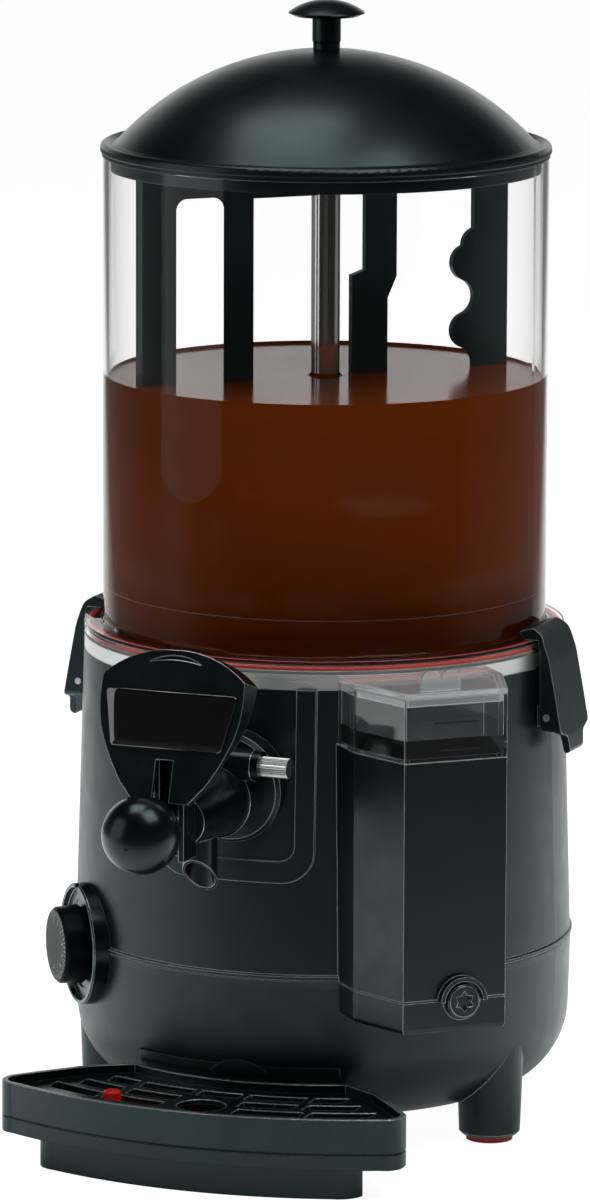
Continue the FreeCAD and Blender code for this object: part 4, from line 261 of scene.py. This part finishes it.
def moulding(name, dark, light, rough, grain=0.25, grain_scale=1500, edge=0.5 * MM,
             worn=0.0, worn_above=0.0, upward_pale=0.0, **more):
    """A moulded plastic: its colour in faint clouds, its gloss in larger ones, and the tool's fine grain as a
    bump over rounded edges. Above a given height its edges carry a painted highlight: a pale colour, made
    partly metallic by a given share. By another share, faces that look up turn paler grey in blotches."""
    material, tree = empty_finish(name)
    place = object_place(tree)
    colour = blend(tree, mottle(tree, place, 28), dark, light)
    # Painted highlight: a pale line along the edges, partly metallic.
    if worn:
        highlight_zone = calc(tree, "GREATER_THAN", axis_of(tree, place, "Z"), worn_above)
        line = calc(tree, "MULTIPLY", edge_line(tree, 0.8 * edge), highlight_zone)
        colour = blend(tree, line, colour, edge_shine)
        more["Metallic"] = calc(tree, "MULTIPLY", line, worn)
    # Faces that look up turn paler grey in blotches.
    if upward_pale:
        normal = add_node(tree, "ShaderNodeNewGeometry").outputs["Normal"]
        bed = ramp(tree, axis_of(tree, normal, "Z"), 0.5, 0.9, 0.0, upward_pale)
        colour = blend(tree, calc(tree, "MULTIPLY", bed, mottle(tree, place, 700)), colour, upward_grey)
    gloss = between(tree, mottle(tree, place, 60), *rough)
    bump = add_node(tree, "ShaderNodeBump", Strength=grain, Distance=0.05 * MM,
                    Height=mottle(tree, place, grain_scale, 2.0), Normal=edge_round(tree, edge)).outputs[0]
    shader = add_node(tree, "ShaderNodeBsdfPrincipled", Base_Color=colour, Roughness=gloss,
                      Normal=bump, **more).outputs[0]
    add_node(tree, "ShaderNodeOutputMaterial", Surface=shader)
    return material


def give(material, *nodes):
    """That finish for every material slot of those parts of the frame."""
    for node in nodes:
        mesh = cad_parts[node].data
        for index in range(len(mesh.materials)):
            mesh.materials[index] = material
        if not mesh.materials:
            mesh.materials.append(material)


cool_sheen = (0.72, 1.0, 1.0, 1)
casing_tones = (0.0045, 0.0068, 0.0078), (0.0058, 0.0085, 0.0096)
satin_black = moulding("satin_black_abs", *casing_tones, (0.30, 0.38),
                       edge=0.8 * MM, worn=0.10, Specular_Tint=cool_sheen)
give(satin_black, "upper_casing", "lower_casing", "tap_ring", "motor_plate")

rubber_red = moulding("foot_rubber", (0.42, 0.022, 0.018), (0.52, 0.030, 0.022), (0.55, 0.70), 0.5, 900)
give(rubber_red, "foot_pads")

# ---------------------------------------------------------------------------
# Pot, water jacket, drive, heater and pipes: stainless and plated steel inside
# the casing. Only the pot's rim shows, as a brushed band under the bowl.


blackening = (0.03, 0.035, 0.037)


def metal(name, colour, rough, stretch=(1, 1, 30), fine=260, bump=0.05, blackened=0.0):
    """A worked metal: streaks drawn out along one axis vary its gloss and stand as a faint
    relief. Up to x = blackened it is blackened."""
    material, tree = empty_finish(name)
    place = object_place(tree)
    drawn = add_node(tree, "ShaderNodeMapping", Vector=place, Scale=stretch).outputs[0]
    streaks = mottle(tree, drawn, fine)
    tint = blend(tree, streaks, [0.9 * part for part in colour], colour)
    if blackened:
        bright = calc(tree, "GREATER_THAN", axis_of(tree, place, "X"), blackened)
        tint = blend(tree, bright, blackening, tint)
    relief = add_node(tree, "ShaderNodeBump", Strength=bump, Distance=0.05 * MM,
                      Height=streaks, Normal=edge_round(tree, 0.25 * MM)).outputs[0]
    shader = add_node(tree, "ShaderNodeBsdfPrincipled", Base_Color=tint, Metallic=1.0,
                      Roughness=between(tree, streaks, *rough), Normal=relief).outputs[0]
    add_node(tree, "ShaderNodeOutputMaterial", Surface=shader)
    return material


zinc = metal("zinc_plated_steel", (0.55, 0.55, 0.53), (0.25, 0.40), (1, 1, 1), 500)
give(zinc, "casing_screws", "plate_screws", "lid_knob_screw", "lever_spring", "lever_pin")
stainless = metal("drawn_stainless", (0.62, 0.61, 0.59), (0.16, 0.26), (30, 30, 1), 160)
give(stainless, "outlet_pipe", "jacket_pipe", "water_jacket", "heater_element",
     "drive_shaft", "thermostat_shaft")
rim_steel = metal("brushed_stainless", (0.97, 0.98, 0.98), (0.36, 0.50), (1, 1, 30), 60, 1.0)
give(rim_steel, "chocolate_pot")
motor_steel = metal("motor_steel", (0.30, 0.30, 0.31), (0.35, 0.5), (1, 1, 1), 400)
give(motor_steel, "gear_motor")
white_plastic = moulding("white_nylon", (0.72, 0.71, 0.68), (0.78, 0.77, 0.74), (0.4, 0.5), 0.2)
give(white_plastic, "lower_bush", "upper_bush", "terminal_block", "valve_piston",
     "thermostat_body", "overheat_cutout")
seal_black = moulding("seal_rubber", (0.012, 0.012, 0.012), (0.018, 0.018, 0.018), (0.5, 0.65), 0.4, 900)
give(seal_black, "piston_seals")

# ---------------------------------------------------------------------------
# Centre tube: a polished stainless tube that guides the drive shaft up
# through the chocolate to the stirrer's hub.
polished = metal("polished_stainless", (0.80, 0.79, 0.77), (0.07, 0.13), (40, 40, 1), 220, 0.03)
give(polished, "centre_tube")

# ---------------------------------------------------------------------------
# Bowl: cast clear polycarbonate, turned at its foot into a flange that the
# latches press on a red silicone gasket.


def let_lamps_through(tree, body, tint):
    """Ends a clear finish: its body for the eye, and only its tint for the rays of lamps."""
    open_air = add_node(tree, "ShaderNodeBsdfTransparent", Color=(*tint, 1)).outputs[0]
    shade = add_node(tree, "ShaderNodeLightPath").outputs["Is Shadow Ray"]
    both = add_node(tree, "ShaderNodeMixShader", _0=shade, _1=body, _2=open_air).outputs[0]
    add_node(tree, "ShaderNodeOutputMaterial", Surface=both)


def clear_plastic(name, tint, rough, refraction, haze, edge):
    """A clear plastic with faint handling marks in its gloss and some haze. Along its edges it turns from
    clear to diffuse white, a painted highlight."""
    material, tree = empty_finish(name)
    marks = between(tree, mottle(tree, object_place(tree), 90, 4.0), *rough)
    # Painted highlight: near an edge the transmission falls and the plastic shows diffuse white.
    clearness = calc(tree, "MULTIPLY_ADD", edge_line(tree, edge), -0.85, 1 - haze)
    body = add_node(tree, "ShaderNodeBsdfPrincipled", Base_Color=(*tint, 1), Roughness=marks,
                    IOR=refraction, Transmission_Weight=clearness, Normal=edge_round(tree, edge)).outputs[0]
    let_lamps_through(tree, body, tint)
    return material


bowl_clear = clear_plastic("bowl_polycarbonate", (1.0, 1.0, 1.0), (0.0, 0.012), 1.24, 0.0, 0.35 * MM)
give(bowl_clear, "bowl")

gasket_bead = 119.0 * MM
gasket_lip = 254.4 * MM
silicone_red, tree = empty_finish("red_silicone")
place = object_place(tree)
flat = add_node(tree, "ShaderNodeVectorMath", operation="MULTIPLY_ADD", _0=place, _1=(1, 1, 0),
                _2=(0, -bowl_axis_y, 0)).outputs[0]
radius = add_node(tree, "ShaderNodeVectorMath", operation="LENGTH", _0=flat).outputs["Value"]
outer = ramp(tree, radius, gasket_bead, gasket_bead + 0.5 * MM, 0.0, 1.0)
upper = ramp(tree, axis_of(tree, place, "Z"), gasket_lip, gasket_lip + 0.4 * MM, 0.0, 1.0)
# Painted shade: above the lip, the gasket's inner part under the bowl's flange is dark red and only its outer
# part bright red. Below the lip it is grey.
grey_below_shaded_inside = blend(tree, upper, (0.20, 0.19, 0.19), (0.05, 0.012, 0.010))
red = blend(tree, calc(tree, "MULTIPLY", outer, upper), grey_below_shaded_inside, (0.80, 0.030, 0.016))
body = add_node(tree, "ShaderNodeBsdfPrincipled", Base_Color=red,
                Roughness=between(tree, mottle(tree, place, 60), 0.35, 0.5)).outputs[0]
add_node(tree, "ShaderNodeOutputMaterial", Surface=body)
give(silicone_red, "bowl_gasket")

# ---------------------------------------------------------------------------
# Stirrer: two moulded paddles on a hub, turned slowly by the shaft.
stirrer_grey = moulding("stirrer_grey_pp", (0.0075, 0.0105, 0.0120), (0.0100, 0.0140, 0.0160),
                        (0.36, 0.45), 0.3, 1100, Specular_Tint=cool_sheen)
give(stirrer_grey, "stirrer")

# ---------------------------------------------------------------------------
# Chocolate: the drink itself, filling the pot and the bowl to its level. It
# clings a little to the bowl's wall and to the tube.


def bands(rows, around):
    """The faces between closed rings of that many points, one ring after the other."""
    return [(row * around + step, row * around + (step + 1) % around,
             (row + 1) * around + (step + 1) % around, (row + 1) * around + step)
            for row in range(rows - 1) for step in range(around)]


def turned_skin(name, outline, around=128):
    """A surface of revolution: each point of the outline, (radius, height) in millimetres,
    goes round the bowl's axis at equal angles."""
    outline = np.asarray(outline, float)
    angle = np.linspace(0, 2 * np.pi, around, endpoint=False)
    radius, height = outline[:, 0][:, None], outline[:, 1][:, None]
    points = np.stack([
        radius * np.cos(angle), radius * np.sin(angle), np.broadcast_to(height, (len(outline), around)),
    ], -1).reshape(-1, 3) * MM + (0, bowl_axis_y, 0)
    return sheet_mesh(name, points, bands(len(outline), around))


chocolate_level = 386.6
wall_inside = 111.85
pot_inside = 107.0
tube_outside = 7.6
climb = 1.4
meniscus = np.linspace(0, 1, 7)
near_tube = np.stack([tube_outside + 3 * meniscus, chocolate_level + climb * (1 - meniscus) ** 3], -1)
open_surface = np.stack([np.linspace(tube_outside + 6, wall_inside - 7, 12),
                         np.full(12, chocolate_level)], -1)
near_wall = np.stack([wall_inside - 4 + 4 * meniscus, chocolate_level + climb * meniscus ** 3], -1)
below = [(wall_inside, 300), (wall_inside, 278.4),
         (wall_inside - 1.2, 277.2), (wall_inside - 1.2, 270.2),
         (wall_inside - 2.4, 269), (wall_inside - 2.4, 264.2),
         (wall_inside - 3.5, 263), (wall_inside - 3.5, 256.8),
         (pot_inside, 253), (pot_inside, 190), (pot_inside - 6, 182.6),
         (tube_outside, 182.6), (tube_outside, 300)]
outline = np.concatenate([near_tube, open_surface, near_wall, below, near_tube[:1]])
chocolate = turned_skin("chocolate", outline[::-1])

chocolate_brown, tree = empty_finish("drinking_chocolate")
place = object_place(tree)
swirl = mottle(tree, place, 14, 4.0)
# Painted shade: the drink is a little darker low down, lightening from 0.26 m to 0.36 m up.
painted_shade_below = ramp(tree, axis_of(tree, place, "Z"), 0.26, 0.36, 0.0, 1.0)
brown = blend(tree, calc(tree, "MULTIPLY_ADD", swirl, 0.25, painted_shade_below),
              (0.112, 0.0200, 0.0006), (0.126, 0.0222, 0.0007))
skin = add_node(tree, "ShaderNodeBump", Strength=0.15, Distance=0.4 * MM,
                Height=mottle(tree, place, 40, 2.0)).outputs[0]
drink = add_node(tree, "ShaderNodeBsdfPrincipled", Base_Color=brown, IOR=1.10,
                 Roughness=between(tree, swirl, 0.12, 0.18), Normal=skin).outputs[0]
add_node(tree, "ShaderNodeOutputMaterial", Surface=drink)
chocolate.data.materials.append(chocolate_brown)
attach(chocolate, "machine")

# ---------------------------------------------------------------------------
# Lid and its knob: black ABS, a smooth dome with a rolled rim, and a knob
# screwed on from inside. The tray's bracket has the same plain gloss.
deep_tones = (0.0040, 0.0060, 0.0068), (0.0052, 0.0076, 0.0086)
lid_black = moulding("lid_black_abs", *deep_tones, (0.27, 0.33), 0.2, 1300,
                     edge=0.8 * MM, Specular_Tint=cool_sheen)
give(lid_black, "lid", "lid_knob", "tray_bracket")

# ---------------------------------------------------------------------------
# Latches: sprung black levers, one each side, that hold the bowl's flange.
latch_black = moulding("latch_black_pa", (0.0065, 0.0095, 0.0105), (0.0085, 0.0120, 0.0135),
                       (0.36, 0.46), 0.35, 1100, edge=0.8 * MM, worn=0.35, Specular_Tint=cool_sheen)
give(latch_black, "latch_left", "latch_right")

# ---------------------------------------------------------------------------
# Tap: a black body clamped in its socket, with a chromed thumb screw, a pull
# lever with a ball, and a cover in front that carries the bare nameplate.
tap_black = moulding("tap_black_abs", *deep_tones, (0.20, 0.28), 0.2,
                     edge=0.8 * MM, worn=0.6, Specular_Tint=cool_sheen)
give(tap_black, "tap_socket", "tap_barrel", "lever_fork", "lever_arm", "tap_cover")
ball_black = moulding("ball_black_phenolic", (0.0040, 0.0058, 0.0066), (0.0050, 0.0072, 0.0082),
                      (0.21, 0.25), 0.1, 2000, Specular_Tint=cool_sheen)
give(ball_black, "lever_knob")
chrome = metal("chromed_brass", (0.92, 0.93, 0.93), (0.26, 0.40), (1, 1, 1), 600, 0.04)
give(chrome, "latch_pin_left", "latch_pin_right")
screw_chrome = metal("chromed_screw", (0.92, 0.93, 0.93), (0.26, 0.40), (1, 1, 1), 600, 0.04,
                     blackened=26.3 * MM)
give(screw_chrome, "thumb_screw")

# ---------------------------------------------------------------------------
# Nameplate: a bare plate of deep gloss black, crowned from side to side, let
# into the cover's leaning face.


def crowned_plate(name, corners, corner_radius, thickness, crown, place):
    """A plate whose edge runs round the corners, each rounded to corner_radius. Its top stands
    at thickness + crown * (1 - (x / half width) ** 10) and falls to its foot over the last
    0.8 mm in five rings. place takes (x, y, height) in millimetres to metres."""
    corners = np.asarray(corners, float)
    edge = []
    for index, corner in enumerate(corners):
        before, after = corners[index - 1] - corner, corners[(index + 1) % len(corners)] - corner
        before, after = before / np.linalg.norm(before), after / np.linalg.norm(after)
        half_angle = np.arccos(np.clip(before @ after, -1, 1)) / 2
        middle = (before + after) / np.linalg.norm(before + after)
        centre = corner + middle * corner_radius / np.sin(half_angle)
        start, end = (corner + side * corner_radius / np.tan(half_angle) - centre for side in (before, after))
        sweep = np.pi - 2 * half_angle
        for step in np.linspace(0, 1, 9):
            spoke = np.sin((1 - step) * sweep) * start + np.sin(step * sweep) * end
            edge.append(centre + spoke / np.sin(sweep))
    closed = np.asarray(edge + edge[:1])
    run = np.concatenate([[0], np.cumsum(np.linalg.norm(np.diff(closed, axis=0), axis=1))])
    around = 192
    even = np.linspace(0, run[-1], around, endpoint=False)
    edge = np.column_stack([np.interp(even, run, closed[:, 0]), np.interp(even, run, closed[:, 1])])
    half_width = np.abs(edge[:, 0]).max()
    inward = -edge / np.linalg.norm(edge, axis=1)[:, None]
    shoulder = 0.8
    rings = []
    for drop, inset in [(1.0, 0.0), (0.45, 0.0), (0.2, 0.15), (0.05, 0.45), (0.0, shoulder)]:
        ring = edge + inset * inward
        top = thickness + crown * (1 - (ring[:, 0] / half_width) ** 10)
        rings.append(np.column_stack([ring, (1 - drop) * top]))
    for share in (0.85, 0.65, 0.4, 0.15):
        ring = share * (edge + shoulder * inward)
        rings.append(np.column_stack([ring, thickness + crown * (1 - (ring[:, 0] / half_width) ** 10)]))
    points = np.concatenate(rings + [[(0, 0, thickness + crown)], [(0, 0, 0)]])
    pole, foot = len(points) - 2, len(points) - 1
    last = (len(rings) - 1) * around
    faces = bands(len(rings), around)
    faces += [(last + step, last + (step + 1) % around, pole) for step in range(around)]
    faces += [((step + 1) % around, step, foot) for step in range(around)]
    return sheet_mesh(name, [place(*point) for point in points], faces)


def leaning_face(x, y, height):
    """A point of the cover's face, in millimetres from its middle, in metres in the machine."""
    lean = math.radians(17.2)
    face_forward, face_height = 206, 250
    return (x * MM,
            bowl_axis_y + (-face_forward + y * math.sin(lean) - height * math.cos(lean)) * MM,
            (face_height + y * math.cos(lean) + height * math.sin(lean)) * MM)


plate_gloss = moulding("plate_gloss_black", (0.0012, 0.0012, 0.0013), (0.0018, 0.0018, 0.0019),
                       (0.03, 0.06), 0.02, 300, IOR=2.5)
plate_corners = [(29.4, -21.8), (35.3, 6.8), (-35.3, 6.8), (-29.4, -21.8)]
plate = crowned_plate("plate", plate_corners, 2, 0.8, 0.6, leaning_face)
plate.data.materials.append(plate_gloss)
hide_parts("nameplate")
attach(plate, "machine")

# ---------------------------------------------------------------------------
# Water column: the filler box of clear plastic with its lid stands in the
# casing's column, and a drain plug closes the column's foot.
filler_clear = clear_plastic("filler_polycarbonate", (0.97, 0.975, 0.98), (0.02, 0.05), 1.45, 0.012, 0.8 * MM)
give(filler_clear, "reservoir_box")
lid_clear = clear_plastic("filler_lid_polycarbonate", (0.97, 0.985, 0.99), (0.02, 0.07), 1.45, 0.16, 0.8 * MM)
give(lid_clear, "reservoir_lid")
give(tap_black, "drain_plug", "drain_fitting", "drain_pipe")


column_front = 179.4
column_side = 39.9
column_front_half = 27.6


def across_column(x, forward, height):
    """A point given across the column, forward from the bowl's axis and up, in metres in the machine."""
    turn = math.radians(43)
    return ((x * math.cos(turn) + forward * math.sin(turn)) * MM,
            bowl_axis_y + (x * math.sin(turn) - forward * math.cos(turn)) * MM, height * MM)


def column_ring(inset, back_radius):
    """The column's outline drawn in by inset: a straight front, a chamfer each side, straight
    sides and the round back."""
    chamfer = math.radians(71.3)
    front, side = column_front - inset, column_side - inset
    front_half = column_front_half - inset * math.tan(chamfer / 2)
    side_front = front - (side - front_half) * math.tan(chamfer)
    back = np.linspace(side, -side, 13)
    return np.array([(-front_half, front), (front_half, front), (side, side_front)]
                    + [(x, math.sqrt(back_radius ** 2 - x ** 2)) for x in back] + [(-side, side_front)])


water_level = 229.2
in_column, in_box = column_ring(5.8, 132.7), column_ring(1.8, 129.2)
rings = [(in_column, 142.1), (in_column, 219.9), (in_box, 219.9), (in_box, water_level)]
around = len(in_column)
points = [across_column(x, forward, height) for ring, height in rings for x, forward in ring]
faces = [face[::-1] for face in bands(len(rings), around)]
faces += [range(around), range(4 * around - 1, 3 * around - 1, -1)]
water = sheet_mesh("water", points, faces, smooth=False)
water_shaded, tree = empty_finish("bath_water")
# Painted shade: the water has a near-black tint that darkens the inside of the column.
body = add_node(tree, "ShaderNodeBsdfPrincipled", Base_Color=(0.02, 0.026, 0.028, 1), IOR=1.33,
                Transmission_Weight=1.0,
                Roughness=between(tree, mottle(tree, object_place(tree), 60), 0.02, 0.08)).outputs[0]
let_lamps_through(tree, body, (0.9, 0.93, 0.94))
water.data.materials.append(water_shaded)
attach(water, "machine")


def printed(name, strokes, width, place):
    """Print on a face: each straight piece of each stroke is a bar of that width, 0.06 mm high,
    with its middle line between two points (x, y) in millimetres. place takes (x, y, height)
    to metres."""
    points, faces = [], []
    for stroke in strokes:
        for start, end in zip(stroke[:-1], stroke[1:]):
            start, end = np.asarray(start, float), np.asarray(end, float)
            way = (end - start) / np.linalg.norm(end - start)
            across = width / 2 * np.array([-way[1], way[0]])
            start, end = start - way * width / 2, end + way * width / 2
            corners = (start - across, end - across, end + across, start + across)
            first = len(points)
            for height in (-0.03, 0.06):
                points += [place(*corner, height) for corner in corners]
            faces += [[first + corner for corner in side] for side in (
                (3, 2, 1, 0), (4, 5, 6, 7), (0, 1, 5, 4), (1, 2, 6, 5), (2, 3, 7, 6), (3, 0, 4, 7))]
    return sheet_mesh(name, points, faces, smooth=False)


ink_black = moulding("ink_black", (0.004, 0.004, 0.004), (0.008, 0.008, 0.008), (0.5, 0.6), 0.1)
full_line, low_line = [(-11.5, 237.4), (11.8, 237.4)], [(-8.0, 223.6), (12.2, 223.6)]
level_lines = printed("level_lines", [full_line, low_line], 1.0,
                      lambda x, y, height: across_column(x, column_front + height, y))
level_lines.data.materials.append(ink_black)
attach(level_lines, "machine")

# ---------------------------------------------------------------------------
# Dial: a black knob in a round bezel on the lower left, with white ticks and
# figures printed on its face.
give(tap_black, "dial_bezel")
dial_black = moulding("dial_black_abs", *deep_tones, (0.30, 0.38), 0.2,
                      edge=0.8 * MM, IOR=1.15, Specular_Tint=cool_sheen)
give(dial_black, "thermostat_dial")


def dial_face(x, y, height):
    """A point of the dial's face, in millimetres from its middle, in metres in the machine."""
    turn = math.radians(-50.3)
    forward = 145.1 + height
    dial_height = 95.3
    return ((x * math.cos(turn) + forward * math.sin(turn)) * MM,
            bowl_axis_y + (x * math.sin(turn) - forward * math.cos(turn)) * MM, (dial_height + y) * MM)


figures = {
    1: [[(1, 0), (1, 4)]],
    2: [[(0, 4), (2, 4), (2, 2), (0, 2), (0, 0), (2, 0)]],
    3: [[(0, 4), (2, 4), (2, 0), (0, 0)], [(0.5, 2), (2, 2)]],
    4: [[(0, 4), (0, 2), (2, 2)], [(2, 4), (2, 0)]],
    5: [[(2, 4), (0, 4), (0, 2), (2, 2), (2, 0), (0, 0)]],
    6: [[(2, 4), (0, 4), (0, 0), (2, 0), (2, 2), (0, 2)]],
    7: [[(0, 4), (2, 4), (1, 0)]],
    8: [[(0, 0), (2, 0), (2, 4), (0, 4), (0, 0)], [(0, 2), (2, 2)]],
}
tick_end, figure_ring, figure_size = 17.8, 12.4, 0.52
marks = []
for step in range(31):
    angle = math.radians(116 - step * 232 / 30)
    spoke = np.array([math.cos(angle), math.sin(angle)])
    marks.append([(15.6 if step % 2 else 14.9) * spoke, tick_end * spoke])
for figure, strokes in figures.items():
    angle = math.radians(104 - (figure - 1) * 208 / 7)
    outward = np.array([math.cos(angle), math.sin(angle)])
    rightward = np.array([outward[1], -outward[0]])
    marks += [[figure_ring * outward + figure_size * ((x - 1) * rightward + (y - 2) * outward)
               for x, y in stroke] for stroke in strokes]
dial_marks = printed("dial_marks", marks, 0.42, dial_face)
ink_white = moulding("ink_white", (0.70, 0.72, 0.72), (0.80, 0.82, 0.82), (0.5, 0.6), 0.1)
dial_marks.data.materials.append(ink_white)
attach(dial_marks, "dial")

# ---------------------------------------------------------------------------
# Switch and cable gland on the back.
give(tap_black, "switch_frame", "cord_gland", "gland_nut")
red_lens = moulding("red_rocker", (0.85, 0.014, 0.010), (0.95, 0.020, 0.014), (0.15, 0.22), 0.05)
give(red_lens, "rocker_switch")

# ---------------------------------------------------------------------------
# Drip tray with its grid, and the red float that shows when it is full. The tray's bed is paler grey in
# blotches where it faces up, and its rim carries a painted highlight.
tray_rim = dict(edge=1.2 * MM, worn=0.45, worn_above=34 * MM, Specular_Tint=cool_sheen)
tray_black = moulding("tray_black_abs", *casing_tones, (0.24, 0.32), 0.15, **tray_rim)
give(tray_black, "drip_grid")
tray_bed = moulding("tray_bed_abs", *casing_tones, (0.24, 0.32), 0.6, 700, upward_pale=0.6, **tray_rim)
give(tray_bed, "drip_tray")
# The float glows faintly by its emission: painted light, for it is no lamp.
float_red = moulding("signal_red", (0.95, 0.020, 0.012), (1.0, 0.028, 0.018), (0.18, 0.25), 0.05,
                     Emission_Color=(0.9, 0.022, 0.016, 1), Emission_Strength=0.06)
give(float_red, "tray_float")
